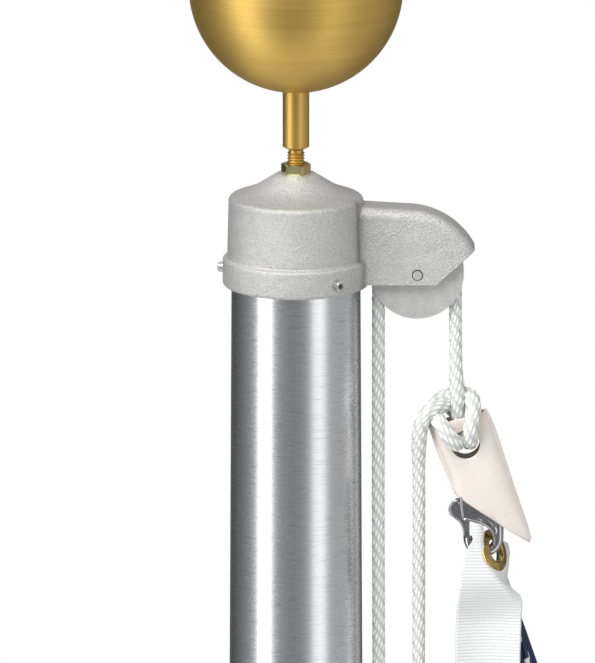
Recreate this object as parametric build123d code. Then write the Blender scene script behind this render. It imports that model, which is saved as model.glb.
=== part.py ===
from build123d import *
import os
from math import cos, pi, radians, sin, sqrt

# A thirty-foot tapered flagpole with an outside halyard, from the ground to the ball.
# Millimetres. The origin is the centre of the shaft's foot, +Z is up, and the
# halyard's side of the pole, where the sheave stands out, is +X.

# Shaft: one seamless aluminium tube, straight below and tapered above
POLE_HEIGHT = 9144.0
BUTT_DIAMETER = 127.0
TOP_DIAMETER = 76.2
SHAFT_WALL = 3.2
TAPER_LENGTH = 4267.0

# Spun cover round the foot of the shaft
FLASH_DIAMETER = 305.0
FLASH_HEIGHT = 64.0
FLASH_SHEET = 1.6
FLASH_RIM = 8.0
FLASH_NECK = 12.0
FLASH_CLEARANCE = 0.3

# Cap casting that drops over the top of the shaft
SOCKET_DEPTH = 48.5
SOCKET_CLEARANCE = 0.5
COLLAR_DIAMETER = 87.2
COLLAR_HEIGHT = 16.6
COLLAR_ROUNDING = 2.4
COLLAR_STEP = 0.8
COLLAR_STEP_ROUNDING = 1.92
BODY_FOOT_ROUNDING = 1.2
BODY_FOOT_DIAMETER = 81.8
BODY_TOP_DIAMETER = 80.0
SHOULDER_HEIGHT = 53.2
SHOULDER_ROUNDING = 3.0
CROWN_WAIST_DIAMETER = 52.0
CROWN_WAIST_RISE = 5.2
CROWN_HOLLOW = 30.0
BOSS_DIAMETER = 22.4
BOSS_RISE = 14.6
BOSS_ROUNDING = 2.0

# Hood arm cast on the cap, and the sheave in it
SHEAVE_REACH = 72.0
SHEAVE_LEVEL = 8.5
SHEAVE_DIAMETER = 55.4
SHEAVE_THICKNESS = 16.4
SHEAVE_HUB_DIAMETER = 18.0
SHEAVE_SIDE_PLAY = 0.3
SHEAVE_RIM_LAND = 2.0
PIN_DIAMETER = 6.4
PIN_RUNNING_CLEARANCE = 0.05
PIN_SEAT_CLEARANCE = 0.1
PIN_STANDOUT = 0.7
HOOD_WIDTH = 27.0
HOOD_SLOT = 18.0
HOOD_ROOF_WALL = 4.2
HOOD_SLOT_CORNER = 4.0
HOOD_OVERLAP = 4.0
HOOD_WEB_OVERLAP = 3.0
HOOD_EDGE_ROUNDING = 6.0
HOOD_ROOT_ROUNDING = 6.0
HOOD_ROOF_HEIGHT = 47.6
HOOD_ROOF_SLOPE = 0.06
HOOD_NOSE_RADIUS = 46.4
HOOD_NOSE_OFFSET = 6.8
HOOD_NOSE_ANGLE = 28.0
HOOD_SKIRT_LEVEL = 2.4
HOOD_SKIRT_REACH = 83.0
SHEAVE_ROOM = 1.2

# Set screws through the collar ring
SET_SCREW_DIAMETER = 6.0
SET_SCREW_STANDOUT = 4.2
SET_SCREW_SOCKET = 3.0
SET_SCREW_SOCKET_DEPTH = 3.0
SET_SCREW_LEVEL = 7.7
SET_SCREW_ANGLES = (-56.5, 56.5, 164.5)
SET_SCREW_CHAMFER = 0.5
THREAD_CLEARANCE = 0.05

# Ball on its threaded spindle
BALL_DIAMETER = 127.0
BALL_SHEET = 1.3
BALL_RISE = 113.0
SPINDLE_DIAMETER = 15.8
SPINDLE_SHOULDER_RISE = 16.2
SPINDLE_CHAMFER = 2.0
SPINDLE_FIT = 0.1
STUD_DIAMETER = 10.4
STUD_PITCH = 1.8
STUD_THREAD_DEPTH = 0.9
STUD_THREADS = 4
STUD_NECK_DIAMETER = 8.6
STUD_ENGAGEMENT = 13.0
SPINDLE_FLANGE_DIAMETER = 26.0
SPINDLE_FLANGE_THICKNESS = 4.0
NUT_ACROSS_FLATS = 15.5
NUT_THICKNESS = 5.7
NUT_CORNER_CHAMFER = 0.8
NUT_TURN = 20.1

# Halyard
ROPE_DIAMETER = 8.0
GROOVE_CLEARANCE = 0.3
ROPE_BELOW_RIM = 0.75
ROPE_GAP = 0.3
HOIST_END_DROP = 79.6
HOIST_LEAD_DROP = 160.0
HOIST_BENDS = (600.0, 8000.0)
FLAG_FALL_X = 73.5
FLAG_FALL_START = ((87.6, -68.8), (76.7, -74.8), (72.4, -90.0), (73.5, -116.0))
FLAG_FALL_BENDS = (8.0, 18.0, 60.0)
# Turns of the hitch: side of the eye, lean and height
HITCH_TURNS = ((-1, -40.0, 22.6), (1, 5.0, 28.0))
HITCH_CORNER = 0.6
CLEAT_LEAD = 60.0
CLEAT_LEAD_SIDE = 1.5
CLEAT_TURN_GAP = 0.5
CLEAT_TURN_CORNER = 0.8

# Snap on the flag's upper corner, placed from the cap's lower rim
SNAP_EYE_X = 101.7
SNAP_EYE_DROP = 99.1
SNAP_EYE_BORE = 17.2
SNAP_EYE_BAR = 4.2
SNAP_EYE_ROUNDING = 1.2
SNAP_BAR = 6.2
SNAP_LOOP_RADIUS = 8.9
SNAP_LOOP_OFFSET_X = 10.3
SNAP_LOOP_DROP = 56.0
SNAP_LOOP_FLAT = 0.356
# Middle line of its shank, from the loop's side up to the eye's foot
SNAP_SHANK_RISES = (9.0, 25.0)
SNAP_SHANK_X = 3.2
SNAP_EYE_FOOT = (3.0, 11.2)
SNAP_SHANK_BENDS = (8.0, 10.0)
SNAP_BODY_THICKNESS = 7.0
GATE_THICKNESS = 5.6
GATE_HUB_DIAMETER = 6.4
GATE_PIVOT_OFFSET_X = -0.7
GATE_PIVOT_DROP = 36.7
GATE_PIN_DIAMETER = 2.4
GATE_PIN_CLEARANCE = 0.05
GATE_PIN_SEAT = 0.02
GATE_PIN_STANDOUT = 0.3
GATE_TIP_GAP = 0.5
GATE_TIP_REACH = 0.6
EAR_THICKNESS = 1.8
EAR_CLEARANCE = 0.3
# Side views of its pieces, measured from the gate's pivot
SNAP_BLOCK = ((3.9, 6.2), (8.6, 6.2), (13.5, -2.0), (18.5, -8.2), (17.8, -13.5), (15.8, -9.8),
              (8.6, -9.6), (5.2, -3.6), (3.9, -0.6))
SNAP_EAR = ((-2.6, 4.6), (-2.0, -2.2), (-1.2, -7.6), (6.5, -9.6), (12.0, -9.6), (12.6, -6.0),
            (7.0, 1.5), (4.0, 5.6))
GATE_LUG = ((0.0, 3.0), (-4.6, 4.0), (-7.6, 1.8), (-10.0, -2.6), (-9.4, -4.8), (-7.4, -6.6),
            (-4.6, -8.4), (-1.0, -9.6))
GATE_BACK = ((-0.6, -14.0), (-2.4, -10.4), (-4.4, -8.2))

# Vinyl cover over the snap
COVER_WALL = 1.5
COVER_THICKNESS = 14.0
COVER_ROUNDING = 4.0
# Steps that open its pocket downward, in wall thicknesses to the right and down
COVER_MOUTH_STEPS = ((0.6, 1.3), (1.6, 3.6))
COVER_HOLE_DIAMETER = 17.4
COVER_CORNERS = ((-23.4, 10.3), (11.7, 25.2), (43.4, -65.0), (-9.6, -28.6))

# Flag, with its canvas heading and brass grommets
FLAG_HOIST = 1219.0
HEADING_WIDTH = 38.0
HEADING_THICKNESS = 2.0
HEADING_X = 115.4
HEADING_TOP_DROP = 146.0
# Down from its top: how far below, its middle's X, and the angle it is turned
HEADING_TWIST = ((0.0, 113.6, 76.0), (9.0, 115.8, 70.0), (17.6, 117.7, 62.0),
                 (32.0, 117.8, 44.0), (48.0, 116.4, 22.0), (66.0, HEADING_X, 0.0))
GROMMET_DIAMETER = 26.0
GROMMET_HOLE = 13.4
GROMMET_THICKNESS = 4.0
GROMMET_ROUNDING = 1.2
GROMMET_SEAT_CLEARANCE = 0.05
GROMMET_DROP = 163.7
GROMMET_X = 118.1
GROMMET_TURN = 62.0
GROMMET_TIP = 0.39

# Flag hanging in folds that spread from its upper corner
FLAG_FLY = 1791.0
FOLDS = 5.5
FOLDS_ADDED = 0.25
FOLD_START = 0.62
FOLD_SWING = 2.0
FOLD_LEAN = -0.05
FOLD_RAYS = 24
RAY_STEPS = 20
CLOTH_THICKNESS = 4.0
CLOTH_GAP = 0.9
CLOTH_CORNER = (-9.0, 15.0, -18.0)
CLOTH_CORNER_GAP = 140.0
GATHER_REACH = 190.0
GATHER_TOP = (36.0, 1.0, 15.0, -6.0, 6.0)
GATHER_FOOT = (-4.0, 68.0, -9.0, 19.0)

# Cleat at hand height
CLEAT_HEIGHT = 1350.0
CLEAT_LENGTH = 229.0
CLEAT_PAD_HEIGHT = 100.0
CLEAT_HORN_ROOT = 6.0
CLEAT_PAD_WIDTH = 28.0
CLEAT_PAD_THICKNESS = 7.0
CLEAT_STEM_HEIGHT = 40.0
CLEAT_STEM_WIDTH = 18.0
CLEAT_HORN_STANDOUT = 28.5
CLEAT_HORN_THICKNESS = 16.0
CLEAT_HORN_TIP = 6.0
CLEAT_HORN_FLARE = 10.0
CLEAT_SEAT_CLEARANCE = 0.1
CLEAT_SCREW_DIAMETER = 6.0
CLEAT_SCREW_HEAD = 10.0
CLEAT_SCREW_HEAD_THICKNESS = 4.0
CLEAT_SCREW_HEAD_ROUNDING = 1.5
CLEAT_SCREW_SPACING = 76.0
CLEAT_TURN_PITCH = 9.0
CLEAT_FIRST_TURN = 12.5

CAP_FOOT = POLE_HEIGHT - SOCKET_DEPTH
SHAFT_TAPER = (BUTT_DIAMETER - TOP_DIAMETER) / 2 / TAPER_LENGTH


def shaft_radius(height):
    """Outside radius of the shaft at a height over the ground."""
    below_top = min(POLE_HEIGHT - height, TAPER_LENGTH)
    return TOP_DIAMETER / 2 + SHAFT_TAPER * below_top


def turned(outline):
    """Solid turned about Z from a closed outline of (radius, height)."""
    return revolve(Plane.XZ * make_face(outline), Axis.Z)


def side_plate(outline, thickness):
    """Plate cut to an outline of (x, z) and centred on the pole's middle plane."""
    return extrude(Plane.XZ * make_face(outline), amount=thickness / 2, both=True)


def rod(start, direction, radius, length):
    """Round bar from a point along a direction."""
    return extrude(Plane(origin=start, z_dir=direction) * Circle(radius), amount=length)


def tube_on(path, radius):
    """Round bar swept along a path of lines and tangent arcs."""
    return sweep(Plane(origin=path @ 0, z_dir=path % 0) * Circle(radius), path=path)


def tell_rope(name, path, runs=1):
    """Print the radius of the rope and the length of one of its runs."""
    print(f"halyard, {name}: radius {ROPE_DIAMETER / 2:.1f}, length {runs * path.length:.0f}")


def head(x, rise, y=0.0):
    """Point near the pole's head, its height counted from the cap's lower rim."""
    return (x, y, CAP_FOOT + rise)


def make_shaft():
    butt, top = BUTT_DIAMETER / 2, TOP_DIAMETER / 2
    straight = POLE_HEIGHT - TAPER_LENGTH
    return turned(Polyline(
        (butt - SHAFT_WALL, 0), (butt, 0), (butt, straight), (top, POLE_HEIGHT),
        (top - SHAFT_WALL, POLE_HEIGHT), (butt - SHAFT_WALL, straight), close=True))


def make_flash_collar():
    inner = BUTT_DIAMETER / 2 + FLASH_CLEARANCE
    outer = FLASH_DIAMETER / 2
    shoulder = inner + FLASH_NECK
    top = FilletPolyline(
        (outer, 0), (outer, FLASH_RIM), (shoulder, FLASH_HEIGHT - FLASH_NECK),
        (inner, FLASH_HEIGHT), radius=[FLASH_RIM / 2, FLASH_NECK])
    under = FilletPolyline(
        (inner, FLASH_HEIGHT - FLASH_SHEET * 1.5),
        (shoulder, FLASH_HEIGHT - FLASH_NECK - FLASH_SHEET * 1.5),
        (outer - FLASH_SHEET, FLASH_RIM - FLASH_SHEET), (outer - FLASH_SHEET, 0),
        radius=[FLASH_NECK, FLASH_RIM / 4])
    outline = [top, Line(top @ 1, under @ 0), under, Line(under @ 1, top @ 0)]
    return turned(outline)


def hood_outline(inset, root_x, skirt):
    """Side view of the hood, pulled in by a wall thickness, down to a skirt level."""
    roof = HOOD_ROOF_HEIGHT - inset
    nose = HOOD_NOSE_RADIUS - inset
    centre_x = SHEAVE_REACH - HOOD_NOSE_OFFSET
    centre_z = HOOD_ROOF_HEIGHT - HOOD_NOSE_RADIUS
    tip = (centre_x + nose * cos(radians(HOOD_NOSE_ANGLE)),
           centre_z + nose * sin(radians(HOOD_NOSE_ANGLE)))
    middle_angle = radians((HOOD_NOSE_ANGLE + 90) / 2)
    middle = (centre_x + nose * cos(middle_angle), centre_z + nose * sin(middle_angle))
    crest = (centre_x, roof)
    root = (root_x, roof + HOOD_ROOF_SLOPE * (centre_x - root_x))
    return root, crest, middle, tip, (root_x, skirt)


def hood_root_web(side):
    """Hollow rounding in the corner between the cap's body and the hood's cheek."""
    cheek, body = HOOD_WIDTH / 2, BODY_TOP_DIAMETER / 2
    centre_y = cheek + HOOD_ROOT_ROUNDING
    reach = body + HOOD_ROOT_ROUNDING
    centre_x = sqrt(reach ** 2 - centre_y ** 2)
    on_body = (centre_x * body / reach, side * centre_y * body / reach)
    corner = make_face(Polyline(
        (on_body[0] - HOOD_WEB_OVERLAP, side * (cheek - HOOD_WEB_OVERLAP)),
        (centre_x, side * (cheek - HOOD_WEB_OVERLAP)),
        (centre_x, side * cheek), on_body,
        (on_body[0] - HOOD_WEB_OVERLAP, on_body[1] - side), close=True))
    corner = corner - Pos(centre_x, side * centre_y) * Circle(HOOD_ROOT_ROUNDING)
    top = HOOD_ROOF_HEIGHT - HOOD_EDGE_ROUNDING
    return Pos(0, 0, COLLAR_HEIGHT) * extrude(corner, amount=top - COLLAR_HEIGHT)


def make_truck_cap():
    collar, foot, top = COLLAR_DIAMETER / 2, BODY_FOOT_DIAMETER / 2, BODY_TOP_DIAMETER / 2
    boss_level = SHOULDER_HEIGHT + BOSS_RISE
    skin = FilletPolyline(
        (0, 0), (collar, 0), (collar, COLLAR_HEIGHT), (foot, COLLAR_HEIGHT + COLLAR_STEP),
        (top, SHOULDER_HEIGHT),
        (CROWN_WAIST_DIAMETER / 2, SHOULDER_HEIGHT + CROWN_WAIST_RISE),
        (BOSS_DIAMETER / 2, boss_level), (0, boss_level),
        radius=[COLLAR_ROUNDING, COLLAR_STEP_ROUNDING, BODY_FOOT_ROUNDING, SHOULDER_ROUNDING,
                CROWN_HOLLOW, BOSS_ROUNDING])
    cap = turned([skin, Line(skin @ 1, skin @ 0)])

    root_x = TOP_DIAMETER / 2 - HOOD_OVERLAP
    root, crest, middle, tip, foot_corner = hood_outline(0, root_x, HOOD_SKIRT_LEVEL)
    skirt_corner = (HOOD_SKIRT_REACH, HOOD_SKIRT_LEVEL)
    hood = side_plate([
        Line(foot_corner, root), Line(root, crest), ThreePointArc(crest, middle, tip),
        Line(tip, skirt_corner), Line(skirt_corner, foot_corner)], HOOD_WIDTH)
    roof_edges = hood.edges().filter_by(
        lambda e: abs(abs((e @ 0.5).Y) - HOOD_WIDTH / 2) < 0.01
        and (e @ 0.5).Z > HOOD_SKIRT_LEVEL + 24 and (e @ 0.5).X > root_x + 1)
    hood = fillet(roof_edges, HOOD_EDGE_ROUNDING)
    cap = cap + hood
    for side in (1, -1):
        cap = cap + hood_root_web(side)

    slot_start = SHEAVE_REACH - SHEAVE_DIAMETER / 2 - SHEAVE_ROOM
    root, crest, middle, tip, _ = hood_outline(HOOD_ROOF_WALL, slot_start, 0)
    slot_foot = -COLLAR_HEIGHT
    slot = side_plate([
        Line((slot_start, slot_foot), (slot_start, SHEAVE_LEVEL + SHEAVE_DIAMETER / 2)),
        Line((slot_start, SHEAVE_LEVEL + SHEAVE_DIAMETER / 2),
             (slot_start + HOOD_SLOT_CORNER, root[1])),
        Line((slot_start + HOOD_SLOT_CORNER, root[1]), crest),
        ThreePointArc(crest, middle, tip),
        Line(tip, (tip[0], slot_foot)), Line((tip[0], slot_foot), (slot_start, slot_foot))],
        HOOD_SLOT)
    bore = rod((0, 0, -1), (0, 0, 1),
               shaft_radius(CAP_FOOT) + SOCKET_CLEARANCE, SOCKET_DEPTH + 1)
    stud_hole = rod((0, 0, boss_level), (0, 0, -1), STUD_DIAMETER / 2 + THREAD_CLEARANCE,
                    STUD_ENGAGEMENT + 1)
    pin_hole = rod((SHEAVE_REACH, -HOOD_WIDTH, SHEAVE_LEVEL), (0, 1, 0),
                   PIN_DIAMETER / 2 + PIN_SEAT_CLEARANCE, 2 * HOOD_WIDTH)
    cap = cap - slot - bore - stud_hole - pin_hole
    for angle in SET_SCREW_ANGLES:
        outward = (cos(radians(angle)), sin(radians(angle)), 0)
        cap = cap - rod((0, 0, SET_SCREW_LEVEL), outward,
                        SET_SCREW_DIAMETER / 2 + THREAD_CLEARANCE, COLLAR_DIAMETER)
    return Pos(0, 0, CAP_FOOT) * cap


def make_sheave():
    bore = PIN_DIAMETER / 2 + PIN_RUNNING_CLEARANCE
    rim, half = SHEAVE_DIAMETER / 2, SHEAVE_THICKNESS / 2
    hub, hub_half = SHEAVE_HUB_DIAMETER / 2, HOOD_SLOT / 2 - SHEAVE_SIDE_PLAY
    groove = ROPE_DIAMETER / 2 + GROOVE_CLEARANCE
    pitch = rope_pitch_radius()
    profile = make_face(Polyline(
        (bore, -hub_half), (hub, -hub_half), (hub, -half), (rim, -half), (rim, half),
        (hub, half), (hub, hub_half), (bore, hub_half), close=True))
    mouth = half - SHEAVE_RIM_LAND
    flare = make_face(Polyline(
        (pitch, -groove), (rim + 1, -mouth), (rim + 1, mouth), (pitch, groove), close=True))
    profile = profile - Pos(pitch, 0) * Circle(groove) - flare
    wheel = revolve(Plane(origin=(0, 0, 0), x_dir=(1, 0, 0), z_dir=(0, 0, 1)) * profile,
                    Axis.Y)
    return Pos(*head(SHEAVE_REACH, SHEAVE_LEVEL)) * wheel


def rope_pitch_radius():
    """Radius of the rope's middle line round the sheave, just inside the rim."""
    return SHEAVE_DIAMETER / 2 - ROPE_DIAMETER / 2 - ROPE_BELOW_RIM


def make_sheave_pin():
    length = HOOD_WIDTH + 2 * PIN_STANDOUT
    pin = rod(head(SHEAVE_REACH, SHEAVE_LEVEL, -length / 2), (0, 1, 0),
              PIN_DIAMETER / 2, length)
    return chamfer(pin.edges(), PIN_STANDOUT * 0.6)


def make_set_screw(angle):
    tip = shaft_radius(CAP_FOOT) + THREAD_CLEARANCE
    end = COLLAR_DIAMETER / 2 + SET_SCREW_STANDOUT
    screw = rod((0, 0, 0), (0, 0, 1), SET_SCREW_DIAMETER / 2, end - tip)
    screw = chamfer(screw.edges(), SET_SCREW_CHAMFER)
    socket = Pos(0, 0, end - tip - SET_SCREW_SOCKET_DEPTH) * extrude(
        RegularPolygon(SET_SCREW_SOCKET / 2, 6, major_radius=False),
        amount=SET_SCREW_SOCKET_DEPTH + 1)
    outward = (cos(radians(angle)), sin(radians(angle)), 0)
    seat = Plane(origin=head(tip * outward[0], SET_SCREW_LEVEL, tip * outward[1]),
                 z_dir=outward)
    return seat * (screw - socket)


def boss_top():
    return CAP_FOOT + SHOULDER_HEIGHT + BOSS_RISE


def make_jam_nut():
    corner = NUT_ACROSS_FLATS / 2 / cos(radians(30))
    blank = extrude(RegularPolygon(corner, 6), amount=NUT_THICKNESS)
    facing = turned(Polyline(
        (0, 0), (corner - NUT_CORNER_CHAMFER, 0), (corner, NUT_CORNER_CHAMFER / 2),
        (corner, NUT_THICKNESS - NUT_CORNER_CHAMFER / 2),
        (corner - NUT_CORNER_CHAMFER, NUT_THICKNESS), (0, NUT_THICKNESS), close=True))
    hole = rod((0, 0, -1), (0, 0, 1), STUD_DIAMETER / 2 + THREAD_CLEARANCE,
               NUT_THICKNESS + 2)
    return Pos(0, 0, boss_top()) * Rot(0, 0, NUT_TURN - 90) * ((blank & facing) - hole)


def ball_centre():
    return boss_top() + BALL_RISE


def make_ball():
    radius = BALL_DIAMETER / 2
    shell = Sphere(radius) - Sphere(radius - BALL_SHEET)
    opening = rod((0, 0, 0), (0, 0, -1), SPINDLE_DIAMETER / 2 + SPINDLE_FIT, 2 * radius)
    return Pos(0, 0, ball_centre()) * (shell - opening)


def make_ball_spindle():
    """Spindle, stud and inner flange, turned from one bar."""
    stud, neck, body = STUD_DIAMETER / 2, STUD_NECK_DIAMETER / 2, SPINDLE_DIAMETER / 2
    foot = boss_top() - STUD_ENGAGEMENT
    shoulder = boss_top() + SPINDLE_SHOULDER_RISE
    thread_top = shoulder - SPINDLE_CHAMFER - STUD_PITCH
    points = [(0, foot), (stud, foot)]
    for turn in range(STUD_THREADS, 0, -1):
        crest = thread_top - turn * STUD_PITCH
        points += [(stud, crest), (stud - STUD_THREAD_DEPTH, crest + STUD_PITCH / 2),
                   (stud, crest + STUD_PITCH)]
    inner = BALL_DIAMETER / 2 - BALL_SHEET
    flange = SPINDLE_FLANGE_DIAMETER / 2
    flange_foot = ball_centre() - (inner ** 2 - flange ** 2) ** 0.5 + SPINDLE_FIT
    points = [p for i, p in enumerate(points) if i == 0 or p != points[i - 1]]
    points += [(neck, thread_top), (neck, shoulder - SPINDLE_CHAMFER),
               (body, shoulder), (body, flange_foot), (flange, flange_foot),
               (flange, flange_foot + SPINDLE_FLANGE_THICKNESS),
               (0, flange_foot + SPINDLE_FLANGE_THICKNESS)]
    return turned(Polyline(*points, close=True))


def eye_centre():
    return (SNAP_EYE_X, -SNAP_EYE_DROP)


def loop_centre():
    return (SNAP_EYE_X + SNAP_LOOP_OFFSET_X, -SNAP_EYE_DROP - SNAP_LOOP_DROP)


def gate_pivot():
    return (SNAP_EYE_X + GATE_PIVOT_OFFSET_X, -SNAP_EYE_DROP - GATE_PIVOT_DROP)


def make_snap_hook():
    """Eye, shank, body block, ears and open hook, cast in one."""
    ex, ez = eye_centre()
    lx, lz = loop_centre()
    px, pz = gate_pivot()
    bar, loop = SNAP_BAR / 2, SNAP_LOOP_RADIUS
    ring = extrude(Circle(SNAP_EYE_BORE / 2 + SNAP_EYE_BAR) - Circle(SNAP_EYE_BORE / 2),
                   amount=SNAP_EYE_BAR / 2, both=True)
    eye = Pos(ex, 0, ez) * Rot(90, 0, 0) * fillet(ring.edges(), SNAP_EYE_ROUNDING)
    path = FilletPolyline(
        (lx - loop, 0, lz), (lx - loop, 0, lz - loop), (lx + loop, 0, lz - loop),
        (lx + loop, 0, lz + SNAP_SHANK_RISES[0]),
        (lx - SNAP_SHANK_X, 0, lz + SNAP_SHANK_RISES[1]),
        (ex + SNAP_EYE_FOOT[0], 0, ez - SNAP_EYE_FOOT[1]),
        radius=[loop - SNAP_LOOP_FLAT, loop - SNAP_LOOP_FLAT, *SNAP_SHANK_BENDS])
    hook = tube_on(path, bar)
    block = side_plate(Polyline(
        *[(px + x, pz + z) for x, z in SNAP_BLOCK], close=True), SNAP_BODY_THICKNESS)
    snap = eye + hook + block
    half_gate = GATE_THICKNESS / 2 + EAR_CLEARANCE
    ear = extrude(Plane.XZ * make_face(Polyline(
        *[(px + x, pz + z) for x, z in SNAP_EAR], close=True)), amount=-EAR_THICKNESS)
    for side in (1, -1):
        flat = ear if side == 1 else mirror(ear, about=Plane.XZ)
        snap = snap + Pos(0, side * half_gate, 0) * flat
    snap = snap - rod((px, -20, pz), (0, 1, 0), GATE_PIN_DIAMETER / 2 + GATE_PIN_SEAT, 40)
    return Pos(0, 0, CAP_FOOT) * snap


def make_snap_gate():
    lx, lz = loop_centre()
    px, pz = gate_pivot()
    hub = GATE_HUB_DIAMETER / 2
    loop = SNAP_LOOP_RADIUS
    tip = lz + GATE_TIP_GAP
    arm = side_plate(Polyline(
        (px - hub * 0.9, pz), (px + hub * 0.8, pz - 1),
        (lx - loop + GATE_TIP_REACH, tip),
        (lx - loop - SNAP_BAR / 2, tip), *[(px + x, pz + z) for x, z in GATE_BACK], close=True),
        GATE_THICKNESS)
    lug = side_plate(Polyline(
        *[(px + x, pz + z) for x, z in GATE_LUG], close=True), GATE_THICKNESS)
    gate = rod((px, -GATE_THICKNESS / 2, pz), (0, 1, 0), hub, GATE_THICKNESS) + arm + lug
    gate = gate - rod((px, -20, pz), (0, 1, 0),
                      GATE_PIN_DIAMETER / 2 + GATE_PIN_CLEARANCE, 40)
    return Pos(0, 0, CAP_FOOT) * gate


def make_snap_pin():
    px, pz = gate_pivot()
    length = GATE_THICKNESS + 2 * (EAR_CLEARANCE + EAR_THICKNESS + GATE_PIN_STANDOUT)
    return rod(head(px, pz, -length / 2), (0, 1, 0), GATE_PIN_DIAMETER / 2, length)


def cover_outline(inset):
    """Side view of the cover, pulled in from every edge but the open lower one."""
    corners = [(SNAP_EYE_X + x, z - SNAP_EYE_DROP) for x, z in COVER_CORNERS]
    face = make_face(Polyline(*corners, close=True))
    if inset:
        shrunk = offset(face, amount=-inset, kind=Kind.INTERSECTION)
        face = shrunk + [Pos(inset * right, -inset * down) * shrunk & face
                         for right, down in COVER_MOUTH_STEPS]
    return face


def make_snap_cover():
    ex, ez = eye_centre()
    outer = extrude(Plane.XZ * cover_outline(0), amount=COVER_THICKNESS / 2, both=True)
    uprights = outer.edges().filter_by(Axis.Y).sort_by(Axis.Z)
    outer = fillet(uprights[2:], COVER_ROUNDING)
    pocket = extrude(Plane.XZ * cover_outline(COVER_WALL),
                     amount=COVER_THICKNESS / 2 - COVER_WALL, both=True)
    hole = rod((ex, -20, ez), (0, 1, 0), COVER_HOLE_DIAMETER / 2, 40)
    return Pos(0, 0, CAP_FOOT) * (outer - pocket - hole)


def strip_section(x, rise, turn, width=HEADING_WIDTH):
    """Cross-section of the heading, turned about its own length."""
    across = (cos(radians(turn)), sin(radians(turn)), 0)
    return Plane(origin=head(x, rise), x_dir=across, z_dir=(0, 0, 1)) * Rectangle(
        width, HEADING_THICKNESS)


def flag_middle():
    return CAP_FOOT - HEADING_TOP_DROP - FLAG_HOIST / 2


def mirrored(solid):
    """The same piece at the flag's lower corner, upside down."""
    return mirror(solid, about=Plane(origin=(0, 0, flag_middle()), z_dir=(0, 0, 1)))


def grommet_plane():
    normal = (sin(radians(GROMMET_TURN)), -cos(radians(GROMMET_TURN)), GROMMET_TIP)
    return Plane(origin=head(GROMMET_X, -GROMMET_DROP), z_dir=normal)


def make_grommet():
    ring = extrude(Circle(GROMMET_DIAMETER / 2) - Circle(GROMMET_HOLE / 2),
                   amount=GROMMET_THICKNESS / 2, both=True)
    ring = fillet(ring.edges(), GROMMET_ROUNDING)
    return grommet_plane() * ring


def make_heading():
    top = -HEADING_TOP_DROP
    twisted = loft([strip_section(x, top - drop, turn) for drop, x, turn in HEADING_TWIST])
    upper = twisted - rod_through_grommet()
    straight_top = CAP_FOOT + top - HEADING_TWIST[-1][0]
    straight_low = 2 * flag_middle() - straight_top
    strip = Pos(HEADING_X, 0, (straight_top + straight_low) / 2) * Box(
        HEADING_WIDTH, HEADING_THICKNESS, straight_top - straight_low)
    return upper + strip + mirrored(upper)


def rod_through_grommet():
    plane = grommet_plane()
    reach = GROMMET_DIAMETER
    return plane * (Pos(0, 0, -reach / 2) * Cylinder(
        GROMMET_DIAMETER / 2 + GROMMET_SEAT_CLEARANCE, reach,
        align=(Align.CENTER, Align.CENTER, Align.MIN)))


def fold_directions():
    """Unit directions of the cloth's rays from its gathered corner. The first is the hoist edge,
    straight down, and the last is the upper edge. In between they swing to and fro."""
    outward = sideways = 0.0
    found = [(0.0, 0.0, -1.0)]
    angle = pi / 2 / (FOLD_RAYS * RAY_STEPS)
    for count in range(1, FOLD_RAYS * RAY_STEPS + 1):
        share = count / (FOLD_RAYS * RAY_STEPS)
        swing = FOLD_SWING * sin(2 * pi * (FOLDS * share + FOLDS_ADDED * share ** 2) + FOLD_START)
        outward += angle * cos(swing)
        sideways += angle * (sin(swing) + FOLD_LEAN / (pi / 2))
        if count % RAY_STEPS == 0:
            found.append((outward, sideways, -sqrt(1 - outward ** 2 - sideways ** 2)))
    return [Vector(*direction) for direction in found]


def ray_reach(count):
    """Length of a ray, from the corner to the flag's lower edge or its fly."""
    angle = pi / 2 * count / FOLD_RAYS
    if count == 0:
        return FLAG_HOIST - CLOTH_CORNER_GAP
    return min(FLAG_HOIST / max(cos(angle), 1e-6), FLAG_FLY / sin(angle))


def make_flag_cloth():
    """One thick sheet along the rays, and the gathered corner as a plain block above it."""
    edge = Vector(HEADING_X + HEADING_WIDTH / 2 + CLOTH_THICKNESS / 2 + CLOTH_GAP, 0,
                  CAP_FOOT - HEADING_TOP_DROP)
    corner = edge + Vector(*CLOTH_CORNER)
    rays = fold_directions()
    across = [(rays[min(i + 1, FOLD_RAYS)] - rays[max(i - 1, 0)]) for i in range(FOLD_RAYS + 1)]
    shift = [a.cross(d).normalized() * (CLOTH_THICKNESS / 2) for a, d in zip(across, rays)]
    start = [Vector(edge.X, edge.Y, corner.Z)] + [corner] * FOLD_RAYS
    near = [s + d * GATHER_REACH for s, d in zip(start, rays)]
    far = [s + d * ray_reach(i) for i, (s, d) in enumerate(zip(start, rays))]
    loops = [[n + m for n, m in zip(near, shift)], [f + m for f, m in zip(far, shift)],
             [f - m for f, m in zip(far, shift)], [n - m for n, m in zip(near, shift)]]
    faces = []
    for one, two in zip(loops, loops[1:] + loops[:1]):
        for i in range(FOLD_RAYS):
            faces += [Face(Polyline(one[i], two[i], two[i + 1], close=True).wire()),
                      Face(Polyline(one[i], two[i + 1], one[i + 1], close=True).wire())]
    for i in (0, FOLD_RAYS):
        ring = [loop[i] for loop in loops]
        faces += [Face(Polyline(*ring[:3], close=True).wire()),
                  Face(Polyline(ring[0], ring[2], ring[3], close=True).wire())]
    sheet = Solid(Shell(faces))
    top = max(point.Z for loop in loops for point in loop)
    block = loft([Pos(corner.X + (left + right) / 2, corner.Y + (front + back) / 2, level)
                  * Rectangle(right - left, back - front)
                  for level, left, right, front, back in (
                      (corner.Z - GATHER_TOP[0], *GATHER_TOP[1:]),
                      (top + CLOTH_GAP, *GATHER_FOOT))], ruled=True)
    return [sheet, block]


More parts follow.
